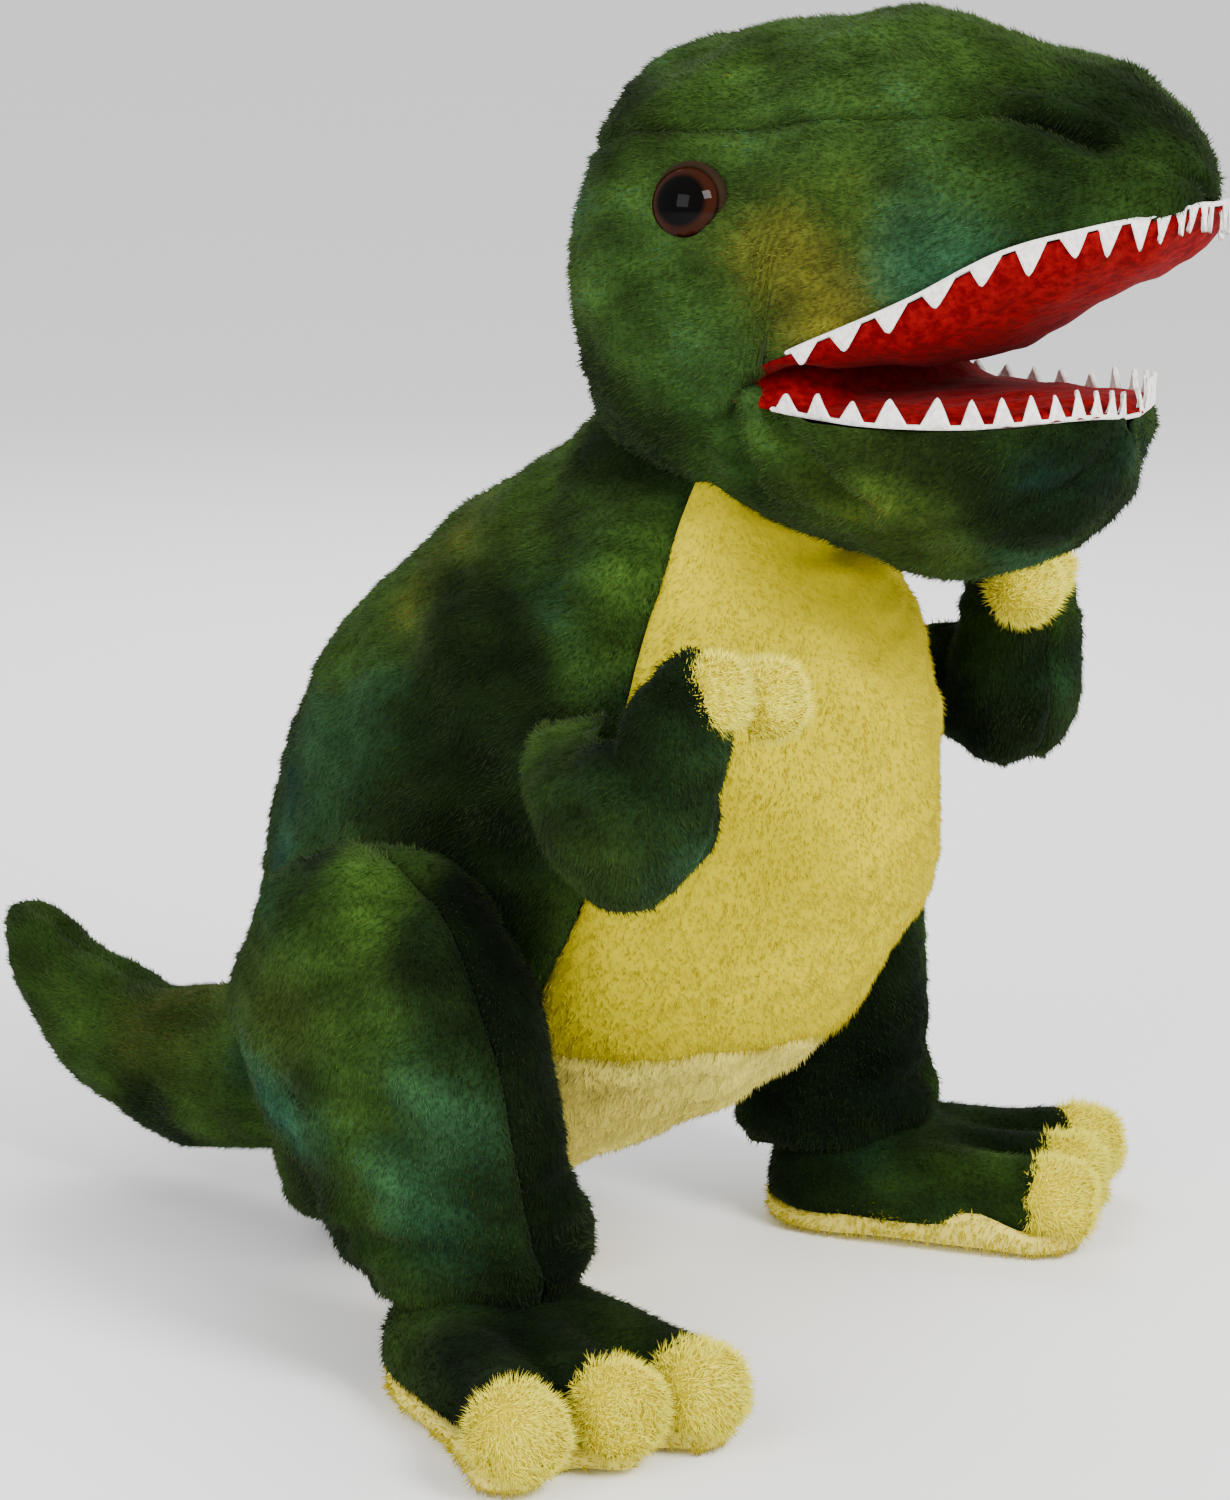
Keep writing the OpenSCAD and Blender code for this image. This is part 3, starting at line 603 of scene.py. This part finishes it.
brow = np.radians(head["brow"])
p, n = headPanel(lambda u: 0 * u - brow, lambda u: 0 * u + brow, 110, 70, 51, 0, .995, (0, 0, 1, 1))
skin = shell("crownPanel", p, n, greenSkin, mottle)
fur = pile("napCrown", trisOf(p, n), "green", headFlow, 61)
dress("head", "green_plush", skin, fur, "crown_panel", "head_stuffing", "palate_board",
      "eye_washer_right", "eye_washer_left", fill=.85)
for side, word in ((-1, "Right"), (1, "Left")):
    p, n = headPanel(lambda u: side * (brow + 0 * u), lambda u: side * cheekEdge(u), 120, 80, 51, 0, .995, (0, 0, 1, .6))
    skin = shell("headSide" + word, p, n, greenSkin, mottle)
    tris = trisOf(p, n)
    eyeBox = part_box("eye_" + word.lower())
    eyeMiddle = (np.array(eyeBox[0]) + np.array(eyeBox[1])) / 2 * 1000 + (0, originBack, 0)
    tris = tris[np.linalg.norm(tris.mean(1) - (eyeMiddle + (side * 5, 0, 0)), axis=-1) > 9.6]
    fur = pile("napHead" + word, tris, "green", headFlow, 62 + side)
    dress("head", "green_plush", skin, fur, "head_side_" + word.lower(), fill=.85)
print("head")

# the mouth's felt linings and teeth
redFelt, shader, place = finish("redFelt", .9, .04, sheenTint=(1, .3, .3), specular=.04)
fuzz = place.noise(420.0, 4.0)
link(place.blendOf(tint(82, 1, 4), tint(124, 6, 10), fuzz.between(.3, .7)), shader, "Base Color")
link(bump(place, fuzz, .0006, .6), shader, "Normal")
toothFelt, shader, place = finish("toothFelt", .8, .2, specular=.2)
fuzz = place.noise(700.0, 4.0)
link(place.blendOf(tint(206, 202, 192), tint(240, 238, 232), fuzz.between(.3, .65)), shader, "Base Color")
link(bump(place, fuzz, .0004, .5), shader, "Normal")

u, v = np.meshgrid(grid(70, mouthU - .05, .99), np.radians(91 + 178 * grid(60)), indexing="ij")
p = ring(head["rows"], u, v)
p[..., 0] *= .985
n = normalsOf(p, (0, -.3, -1))
p = crumple(p, n, .35, 16, 71, [], (0, 0, 0, 0))
palate = shell("palateLining", p, normalsOf(p, (0, -.3, -1)), redFelt, None, 1.0)
join("head", "red_felt", [palate], "palate_lining")

jaw = dict(
    rows=[[-20, 252, 8, 28, 38], [-32, 251, 8, 34, 43], [-45, 249, 7, 36, 45], [-58, 247.5, 4, 37, 45.5],
          [-73, 246, 3, 39, 45.5],
          [-88, 245, 4, 42, 43.5], [-106, 245, 5, 38, 37.5], [-119, 246, 4, 32, 32], [-128, 247, 3, 26.5, 23.5],
          [-133, 247, 1, 15, 13], [-135, 246, 1, 4, 3]],
    chin=128, start=(0, -60, 252), end=(0, -71, 237.5),
    creases=bothSides([((46, -60, 247), (40, -82, 224), 4.0, 3.4), ((46, -50, 246), (40, -54, 224), 3.0, 3.0),
                       ((30, -90, 210), (20, -118, 214), 1.0, 4)]),
)


def lipEdge(u):
    y = along(jaw["rows"], u)[..., 0]
    return np.radians(50 + 41 * np.clip((-54 - y) / 12, 0, 1))


def jawPanel(v0, v1, nu, nv, tuck):
    u = grid(nu, 0, 1)[:, None] * np.ones(nv)
    w = grid(nv)[None, :]
    v = v0(u) * (1 - w) + v1(u) * w
    p = ring(jaw["rows"], u, v)
    n = normalsOf(p, p - np.stack([0 * p[..., 0], p[..., 1], np.full_like(p[..., 0], 246)], -1))
    p = crumple(p, n, .9, 26, 81, jaw["creases"], tuck, 1.2, 2.4)
    return p, normalsOf(p, n)


chin = np.radians(jaw["chin"])
bend = ("jaw", jaw["start"], jaw["end"])
for side, word in ((-1, "Right"), (1, "Left")):
    p, n = jawPanel(lambda u: side * lipEdge(u), lambda u: side * (chin + 0 * u), 90, 46, (0, 0, .5, 1))
    skin = shell("jawBand" + word, p, n, greenSkin, mottle)
    fur = pile("napJaw" + word, trisOf(p, n), "green", headFlow, 72 + side)
    nodes = ["jaw_side_band", "jaw_stuffing", "jaw_board"] if side < 0 else []
    dress("head", "green_plush", skin, fur, *nodes, fill=.85, bend=bend)
p, n = jawPanel(lambda u: 0 * u + chin, lambda u: 2 * np.pi - chin + 0 * u, 90, 50, (0, 0, 1, 1))
skin = shell("chinPanel", p, n, greenSkin, mottle)
fur = pile("napChin", trisOf(p, n), "green", headFlow, 75)
dress("head", "dark_plush", skin, fur, "chin_panel", fill=.85, bend=bend)

# the jaw's lining: a felt tongue of cloth that rises at the back to meet the palate in a fold
u, v = np.meshgrid(grid(70, .22, .985), np.radians(-90.5 + 181 * grid(60)), indexing="ij")
p = ring(jaw["rows"], u, v)
p[..., 0] *= .985
rise = np.clip((p[..., 1] + 74) / 12, 0, 1)
p[..., 2] += 9 * rise ** 2 * (3 - 2 * rise) * (1 - np.abs(np.sin(v)) ** 4)
n = normalsOf(p, (0, 0, 1))
p = crumple(p, n, .35, 15, 72, [], (0, 0, 0, 0))
lining = shell("jawLining", p, normalsOf(p, (0, 0, 1)), redFelt, None, 1.0)
join("head", "red_felt", [lining], "jaw_lining", bend=("jaw", (0, -58, 256), (0, -76, 249)))

teeth = dict(upper=14, lower=13, height=6.8, band=1.2, perTooth=14)


def toothRow(name, lip, out, count, down, seed):
    # a strip of felt along the lip, cut into teeth: its height is the band plus a rounded saw of the share along it
    rng = np.random.default_rng(seed)
    s = grid(2 * count * teeth["perTooth"] + 1)
    x = (s * 2 * count) % 1
    i = np.minimum((s * 2 * count).astype(int), 2 * count - 1)
    middle = 1 - np.abs(2 * s - 1)
    size = teeth["height"] * rng.uniform(.78, 1.08, 2 * count)[i] * (.62 + .38 * np.clip(middle * 2.4, 0, 1))
    tooth = np.clip(1.62 * (1 - np.abs(2 * x - 1)) - .5, 0, 1) ** .9
    tooth = np.minimum(tooth, .93 + .07 * tooth)
    h = teeth["band"] + size * tooth
    w = grid(9)[None, :]
    base, away = lip(s), unit(out(s))
    leanWay = unit(np.gradient(base, axis=0)) * (rng.uniform(-.8, .8, 2 * count)[i] * tooth)[:, None]
    splay = rng.uniform(-.5, 1.1, 2 * count)[i] * tooth
    tall = np.array([0, 0, down])
    p = (base[:, None] + tall * (w * h[:, None])[..., None] + away[:, None] * (-.1 + .5 * np.sin(w * 3))[..., None]
         + (leanWay[:, None] + (away * splay[:, None])[:, None]) * (w ** 2)[..., None])
    n = normalsOf(p, away[:, None] + 0 * p)
    return shell(name, p, n, toothFelt, None, 1.3)


def lipOf(rows, u0, power=1.0, inset=1.0):
    def lip(s):
        side = np.where(s < .5, -1, 1)
        k = np.minimum(s, 1 - s) * 2
        u = u0 + (.992 - u0) * (1 - (1 - k) ** 1.15)
        q = ring(rows, u, np.full_like(u, np.pi / 2))
        q[:, 0] *= side * inset
        return q
    return lip


upperLip = lipOf(head["rows"], mouthU + .03)
lowerLip = lipOf(jaw["rows"], .325)


def outFrom(lip, y):
    # level directions from the middle of the mouth to the lip
    return lambda s: lip(s) * (1, 1, 0) - (0, y, 0)


upper = toothRow("upperTeeth", lambda s: upperLip(s) + (0, 0, 1.2), outFrom(upperLip, -105), teeth["upper"], -1, 7)
join("head", "tooth_felt", [upper], "upper_teeth")
lower = toothRow("lowerTeeth", lambda s: lowerLip(s) - (0, 0, .6), outFrom(lowerLip, -90), teeth["lower"], 1, 8)
join("jaw", "tooth_felt", [lower], "lower_teeth")
print("mouth")

lid = dict(radius=8.7, tube=1.15, out=-.6)
lidCloth, shader, place = finish("lidCloth", .85, specular=.1)
link(place.blendOf(tint(20, 12, 6), tint(44, 30, 14), place.noise(600.0)), shader, "Base Color")
for side, word in ((-1, "right"), (1, "left")):
    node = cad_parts["eye_" + word]
    lowest, highest = (np.array(c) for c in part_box("eye_" + word))
    middle = (lowest + highest) / 2
    eyePlastic, shader, place = finish("eyePlastic" + word.title(), .05, coat=.12, specular=0.0)
    facing = unit(np.array([side * .985, -.12, .12]))
    offset = place.out(place.node("ShaderNodeVectorMath", dict(operation="SUBTRACT"), _0=place, _1=tuple(middle)))
    crossed = place.out(place.node("ShaderNodeVectorMath", dict(operation="CROSS_PRODUCT"), _0=offset, _1=tuple(facing)))
    far = place.out(place.node("ShaderNodeVectorMath", dict(operation="LENGTH"), _0=crossed), "Value")
    iris = place.blendOf((.0008, .0006, .0005), tint(40, 15, 5), far.between(.0056, .007))
    link(place.blendOf(iris, tint(14, 6, 3), far.between(.0079, .0086)), shader, "Base Color")
    node.data.materials.clear()
    node.data.materials.append(eyePlastic)
    # the lid: a dark ring round the dome, its tube carried round a circle
    centre = middle * 1000 + (0, originBack, 0) + facing * lid["out"]
    x = unit(np.cross(facing, (0, 0, 1)))
    y = np.cross(x, facing)
    t, v = np.meshgrid(grid(65, 0, 2 * np.pi)[:-1], grid(17, 0, 2 * np.pi)[:-1], indexing="ij")
    radial = np.cos(t)[..., None] * x + np.sin(t)[..., None] * y
    p = (centre + radial * (lid["radius"] + lid["tube"] * np.cos(v)[..., None])
         + facing * (lid["tube"] * 1.5 * np.sin(v))[..., None])
    faces = gridFaces(65, 16, True).reshape(64, 16, 4)
    faces = (faces % (64 * 16)).reshape(-1, 4)
    q = p.reshape(-1, 3)[faces[0]]
    if np.cross(q[1] - q[0], q[3] - q[0]) @ (q[0] - centre - radial[0, 0] * lid["radius"]) < 0:
        faces = faces[:, ::-1]
    ringOfLid = makeMesh("eyeLid" + word.title(), toFrame(p.reshape(-1, 3)), faces, [lidCloth])
    join("head", "dark_plush", [ringOfLid])
print("eyes")

arm = dict(
    # angle round the elbow's crease, distance from it, half width, half depth, shift sideways
    rows=[[8, 13, .3, .3, -36], [12, 13, 9, 8, -35], [20, 13.5, 13.5, 10, -32], [38, 15, 17, 12, -24],
          [60, 17.5, 18.5, 13.5, -12], [84, 21.5, 18.5, 17.5, -3], [108, 24.5, 18.5, 20.5, 0],
          [131, 21.5, 18.5, 17.5, 0], [156, 18, 18, 14.5, 1], [182, 17, 16.5, 13.5, 2],
          [202, 17.5, 15, 13.5, 2], [216, 18.5, 13, 12, 2], [226, 20, 10, 9, 2], [231, 21, .3, .3, 2]],
    crease=(91, -44, 175), side=(.88, -.46, .1), shoulder=(67, -26, 162), leftRaise=10, inner=54,
    caps=[((84, -63, 181.5), (-.35, -.85, .3)), ((69, -69, 179.5), (-.55, -.8, .2))],
    capLength=16, capRadius=8.8,
    creases=[((100, -50, 178), (74, -42, 170), 1.6, 4), ((88, -48, 138), (92, -30, 150), 1.2, 4)],
)
armSide = unit(arm["side"])
armBack = unit(np.array([0, 1, 0]) - armSide[1] * armSide)
armUp = np.cross(armSide, armBack)


def armPoint(u, v):
    # rings fanned round the crease inside the elbow
    s = along(arm["rows"], u)
    a = np.radians(s[..., :1])
    away = np.cos(a) * armBack - np.sin(a) * armUp
    outward = s[..., 1:2] - s[..., 3:4] * np.cos(v)[..., None]
    sideways = s[..., 4:5] + s[..., 2:3] * np.sin(v)[..., None]
    p = arm["crease"] + outward * away + sideways * armSide
    p[..., 0] = np.maximum(p[..., 0], arm["inner"])
    return p


def armPose(p, side):
    # the left arm is raised about its shoulder
    if side > 0:
        a = math.radians(-arm["leftRaise"])
        x, y, z = np.moveaxis(p - arm["shoulder"], -1, 0)
        p = np.stack([x, y * math.cos(a) - z * math.sin(a), y * math.sin(a) + z * math.cos(a)], -1) + arm["shoulder"]
    return mirror(p, side)


def fuzzyCap(middle, aim, length, radius, seed, lead=.35):
    # a thumb-shaped cap: rings carried along aim, whose radius falls to nothing at the tip
    aim = unit(aim)
    x = unit(np.cross(aim, (0, 0, 1)))
    y = np.cross(x, aim)
    t, v = np.meshgrid(grid(26, -.55, 1), grid(41, 0, 2 * np.pi)[:-1], indexing="ij")
    r = radius * np.sqrt(np.clip(1 - np.abs(t) ** 3.2, .002, 1))
    p = (np.asarray(middle) + aim * (t * length * .6 + length * lead)[..., None]
         + r[..., None] * (np.cos(v)[..., None] * x + np.sin(v)[..., None] * y))
    return p + .6 * waves(p, 9, seed)[..., None] * unit(p - p.mean((0, 1)))


for side, word in ((-1, "Right"), (1, "Left")):
    low = word.lower()
    # the inner panel faces the body, and its green is darkened as painted shade
    for part, v0, v1, slotName, insideShade in (("sleeveOuter", .4, 179.6, "green_plush", 1.0),
                                           ("sleeveInner", 180.4, 359.6, "dark_plush", .55)):
        u, v = np.meshgrid(grid(80), np.radians(grid(40, v0, v1)), indexing="ij")
        p = armPoint(u, v)
        axis = armPoint(u, v * 0) * .5 + armPoint(u, v * 0 + np.pi) * .5
        n = normalsOf(p, p - axis)
        p = armPose(crumple(p, n, .8, 20, 91, arm["creases"], (0, 0, 1, 1), 1.1, 2.2), side)
        n = normalsOf(p, p - armPose(axis, side))
        shade = (lambda q, k=insideShade: mottle(q) * k)
        skin = shell(part + word, p, n, greenSkin, shade)
        fur = pile("nap" + part[0].upper() + part[1:] + word, trisOf(p, n), "green", (0, -.1, -1), 95 + side, dye=shade)
        nodes = ["sleeve_outer_" + low, "arm_stuffing_" + low] if part == "sleeveOuter" else ["sleeve_inner_" + low]
        dress("arm_" + low, slotName, skin, fur, *nodes, fill=.8)
    for k, (middle, aim) in enumerate(arm["caps"]):
        p = armPose(fuzzyCap(middle, aim, arm["capLength"], arm["capRadius"], 101 + k), side)
        cap = solid("fingerCap%s%d" % (word, k + 1), p, capSkin, yellowDye)
        fur = pile("napFinger%s%d" % (word, k + 1), trisOf(p, normalsOf(p), True), "cap", (0, -.6, .2), 111 + k)
        dress("arm_" + low, "cap_plush", cap, fur, *(["finger_caps_" + low] if k == 0 else []), fill=.8)
print("arms")

leg = dict(
    # middle, half width, half depth
    rows=[[86, 38, 130, 4, 6], [88, 36, 126, 18, 24], [89, 31, 113, 25.5, 37.5], [90, 22, 92, 27.5, 42.5],
          [89, 13, 71, 26.5, 39.5], [87, 6, 52, 25, 33.5], [85, 1, 40, 25, 30],
          [84, -2, 31, 24.5, 29], [84, -3, 24, 21, 25]],
    creases=[((112, -24, 43), (112, 24, 40), 3.6, 3.2), ((60, -30, 43), (112, -30, 42), 3.2, 3.2),
             ((112, 24, 40), (70, 34, 40), 3.2, 3.2), ((112, -20, 84), (116, 14, 74), 1.5, 6),
             ((62, -26, 66), (84, -34, 60), 1.6, 4), ((62, -24, 80), (82, -36, 76), 1.3, 4),
             ((110, 40, 60), (112, 12, 56), 1.2, 5)],
    inner=55,
)


def legPoint(u, v):
    # rings across the limb, half width along X and half depth at right angles to its run
    s = along(leg["rows"], u)
    t = unit(along(leg["rows"], u + .01)[..., :3] - along(leg["rows"], u - .01)[..., :3])
    up = unit(np.cross(t, (1, 0, 0)))
    flat = np.cross(up, t)
    p = s[..., :3] + s[..., 4:5] * np.cos(v)[..., None] * up + s[..., 3:4] * np.sin(v)[..., None] * flat
    p[..., 0] = np.maximum(p[..., 0], leg["inner"])
    return p


for side, word in ((-1, "Right"), (1, "Left")):
    low = word.lower()
    # the inner panel faces the body, and its green is darkened as painted shade
    for part, v0, v1, slotName, insideShade in (("legOuter", 24, 179.6, "green_plush", 1.0),
                                           ("legInner", 180.4, 383.2, "dark_plush", .5)):
        u, v = np.meshgrid(grid(90, .02, .98), np.radians(grid(56, v0, v1)), indexing="ij")
        p = legPoint(u, v)
        axis = legPoint(u, v * 0) * .5 + legPoint(u, v * 0 + np.pi) * .5
        n = normalsOf(p, p - axis)
        p = crumple(p, n, 1.1, 30, 121, leg["creases"], (0, 0, 1, 1), 1.4, 2.6)
        p, axis = mirror(p, side), mirror(axis, side)
        n = normalsOf(p, p - axis)
        shade = (lambda q, k=insideShade: mottle(q) * k)
        skin = shell(part + word, p, n, greenSkin, shade)
        fur = pile("nap" + part[0].upper() + part[1:] + word, trisOf(p, n), "green", (0, .1, -1), 125 + side, dye=shade)
        nodes = ["leg_outer_" + low, "leg_stuffing_" + low] if part == "legOuter" else ["leg_inner_" + low]
        dress("leg_" + low, slotName, skin, fur, *nodes, fill=.8)
print("legs")

foot = dict(
    rows=[[21, 10, 1, 1, 1], [20, 10, 10, 5, 12], [16, 10, 17, 5, 20], [7, 9, 23, 5, 26], [-9, 9, 23, 5, 29],
          [-24, 9, 19, 5, 31],
          [-36, 9, 15, 5, 31], [-44, 9, 11, 4, 26]],
    ankle=(86, -5, 0), turnout=21, voxel=1.6,
    # each toe's knuckle, turn outward in degrees and length
    toes=[(-20, -44, -3, 14), (2, -42, 3, 16), (23, -42, 22, 18)], toeRadius=10.5, capRadius=10.9, capLength=19,
)
sole = dict(
    outline=[[0, 23], [-17, 18], [-26, 2], [-29, -20], [-32, -42], [-31, -62], [-21, -70], [-10, -62], [-1, -66], [4, -70],
             [14, -62], [22, -62], [33, -68], [41, -60], [36, -44], [31, -22], [27, 2], [17, 18], [0, 23]],
    # share of the outline and height, from the ground up
    layers=[(.02, 0), (.6, .3), (.955, 1.2), (.992, 3), (.995, 5.2), (.975, 6.4), (.94, 6.6), (.5, 6.4)],
    tall=6.6, arch=5,
)


def footPlace(p, side):
    a = math.radians(foot["turnout"])
    x, y = p[..., 0] * math.cos(a) - p[..., 1] * math.sin(a), p[..., 0] * math.sin(a) + p[..., 1] * math.cos(a)
    return mirror(np.stack([x, y, p[..., 2]], -1) + foot["ankle"], side)


def tube(path, radii, count=32):
    # rings carried along a path
    path, radii = np.array(path, float), np.array(radii, float)
    t = grid(28)
    c, r = along(path, t), along(radii[:, None], t)
    ahead = unit(np.gradient(c, axis=0))
    x = unit(np.cross(ahead, (0, 0, 1)))
    y = np.cross(x, ahead)
    v = grid(count + 1, 0, 2 * np.pi)[:-1]
    return c[:, None] + r[:, None] * (np.cos(v)[None, :, None] * x[:, None] + np.sin(v)[None, :, None] * y[:, None])


def weld(name, forms, voxel, material, dye):
    # several closed forms made one skin by a voxel remesh, then eased
    parts = [solid(name + str(k), f, material) for k, f in enumerate(forms)]
    first = parts[0]
    with bpy.context.temp_override(active_object=first, selected_editable_objects=parts, selected_objects=parts):
        bpy.ops.object.join()
    first.name = name
    for kind, values in (("REMESH", dict(mode="VOXEL", voxel_size=voxel / 1000)), ("SMOOTH", dict(iterations=6, factor=.6))):
        m = first.modifiers.new(kind.title(), kind)
        for key, value in values.items():
            setattr(m, key, value)
    mesh = bpy.data.meshes.new_from_object(first.evaluated_get(bpy.context.evaluated_depsgraph_get()))
    first.modifiers.clear()
    first.data = mesh
    mesh.materials.clear()
    mesh.materials.append(material)
    mesh.polygons.foreach_set("use_smooth", np.ones(len(mesh.polygons), bool))
    co = np.empty(len(mesh.vertices) * 3, np.float32)
    mesh.vertices.foreach_get("co", co)
    points = co.reshape(-1, 3).astype(float) * 1000 + (0, originBack, 0)
    paintDye(first, dye, points)
    mesh.calc_loop_triangles()
    index = np.empty(len(mesh.loop_triangles) * 3, np.int32)
    mesh.loop_triangles.foreach_get("vertices", index)
    return first, points[index.reshape(-1, 3)]


for side, word in ((-1, "Right"), (1, "Left")):
    low = word.lower()
    u, v = np.meshgrid(grid(40), grid(49, 0, 2 * np.pi)[:-1], indexing="ij")
    forms = [ring(foot["rows"], u, v, False, .85)]
    for x, y, turned, length in foot["toes"]:
        a = math.radians(turned)
        tip = np.array([x + length * math.sin(a), y - length * math.cos(a), 14.5])
        end = tip + [2 * math.sin(a), -2 * math.cos(a), 0]
        forms.append(tube([(x * .35, 2, 17), (x * .8, -18, 17), (x, y, 15.5), tip, end],
                          [9, 10.5, foot["toeRadius"], foot["toeRadius"], 2]))
    forms = [footPlace(f, side) for f in forms]
    # the foot's green is a fifth darker than the body's: painted shade
    dark = lambda q: mottle(q) * .8
    skin, tris = weld("footUpper" + word, forms, foot["voxel"], greenSkin, dark)
    tris = tris[tris[..., 2].mean(-1) > 6]
    fur = pile("napFoot" + word, tris, "green", (0, -.9, -.4), 131 + side, dye=dark)
    dress("leg_" + low, "green_plush", skin, fur, "foot_upper_" + low, "foot_stuffing_" + low, "toes_" + low, fill=.8)
    for k, (x, y, turned, length) in enumerate(foot["toes"]):
        a = math.radians(turned)
        aim = np.array([math.sin(a), -math.cos(a), 0])
        local = fuzzyCap(np.array([x, y, 14.5]) + aim * (length - 2), aim, foot["capLength"], foot["capRadius"], 141 + k, .3)
        local[..., 2] = np.maximum(local[..., 2], 1.2)
        p = footPlace(local, side)
        cap = solid("toeCap%s%d" % (word, k + 1), p, capSkin, yellowDye)
        fur = pile("napToe%s%d" % (word, k + 1), trisOf(p, normalsOf(p), True), "cap", (0, -.7, -.1), 151 + k)
        dress("leg_" + low, "cap_plush", cap, fur, *(["toe_caps_" + low] if k == 0 else []), fill=.8)
    # the sole: a flat pad whose edge rounds up to the green
    t = grid(97, 0, 2 * np.pi)[:-1]
    edge = along(sole["outline"], t / (2 * np.pi))
    centre = np.array([0, -22])
    p = np.stack([np.concatenate([centre + (edge - centre) * s, np.full((len(t), 1), z)], -1) for s, z in sole["layers"]])
    # its middle stands higher on the inner edge
    inward, midway = np.clip(-p[..., 0] / 24, 0, 1), np.clip((30 - np.abs(p[..., 1] + 26)) / 12, 0, 1)
    p[..., 2] += p[..., 2] / sole["tall"] * sole["arch"] * inward * midway
    p = footPlace(p, side)
    pad = solid("footSole" + word, p, yellowSkin, creamDye)
    rim = p[2:7]
    n = normalsOf(rim, rim - footPlace(np.array([[[0, -22, 3]]]), side))
    fur = pile("napSole" + word, trisOf(rim, n, True), "yellow", (0, 0, -.3), 161, length=2.6)
    dress("leg_" + low, "belly_plush", pad, fur, "foot_sole_" + low, fill=.6)
print("feet")

tail = dict(
    rows=[[88, 43, 12, 12, 12], [100, 43, 21, 21, 21], [113, 43, 24, 24, 24], [124, 43, 25, 25, 25],
          [148, 38, 23.5, 23.5, 23.5],
          [174, 36, 21.5, 21.5, 20.5], [200, 44, 18.5, 18.5, 17.5],
          [219, 57, 14.5, 14.5, 13.5], [230, 67, 8.5, 8.5, 7.5], [233, 70, 1, 1, 1]],
)
for side, word in ((-1, "Right"), (1, "Left")):
    u, v = np.meshgrid(grid(90), side * np.radians(grid(40, .4, 179.6)), indexing="ij")
    p = ring(tail["rows"], u, v, False, 1)
    axis = along(tail["rows"], u)[..., :2]
    axis = np.stack([0 * p[..., 0], axis[..., 0], axis[..., 1]], -1)
    n = normalsOf(p, p - axis)
    creases = [((side * 24, 118, 60), (side * 24, 122, 26), 1.5, 4), ((side * 10, 168, 20), (side * 20, 160, 34), 1.2, 4)]
    p = crumple(p, n, .9, 26, 171, creases, (0, 0, 1, 1), 1.3, 2.4)
    n = normalsOf(p, p - axis)
    skin = shell("tailSide" + word, p, n, greenSkin, mottle)
    fur = pile("napTail" + word, trisOf(p, n), "green", (0, 1, .1), 175 + side)
    dress("tail", "green_plush", skin, fur, "tail_side_" + word.lower(), *(["tail_stuffing"] if side < 0 else []), fill=.8)
print("tail")

floorMesh = bpy.data.meshes.new("floor")
floorMesh.from_pydata([(-60, -60, 0), (60, -60, 0), (60, 60, 0), (-60, 60, 0)], [], [(0, 1, 2, 3)])
floor = bpy.data.objects.new("floor", floorMesh)
paper, shader, place = finish("paper", .9)
link(place.blendOf((.94, .94, .94), (.96, .96, .96), place.noise(3.0)), shader, "Base Color")
floorMesh.materials.append(paper)
scene.collection.objects.link(floor)
floor.location.z = -.0005
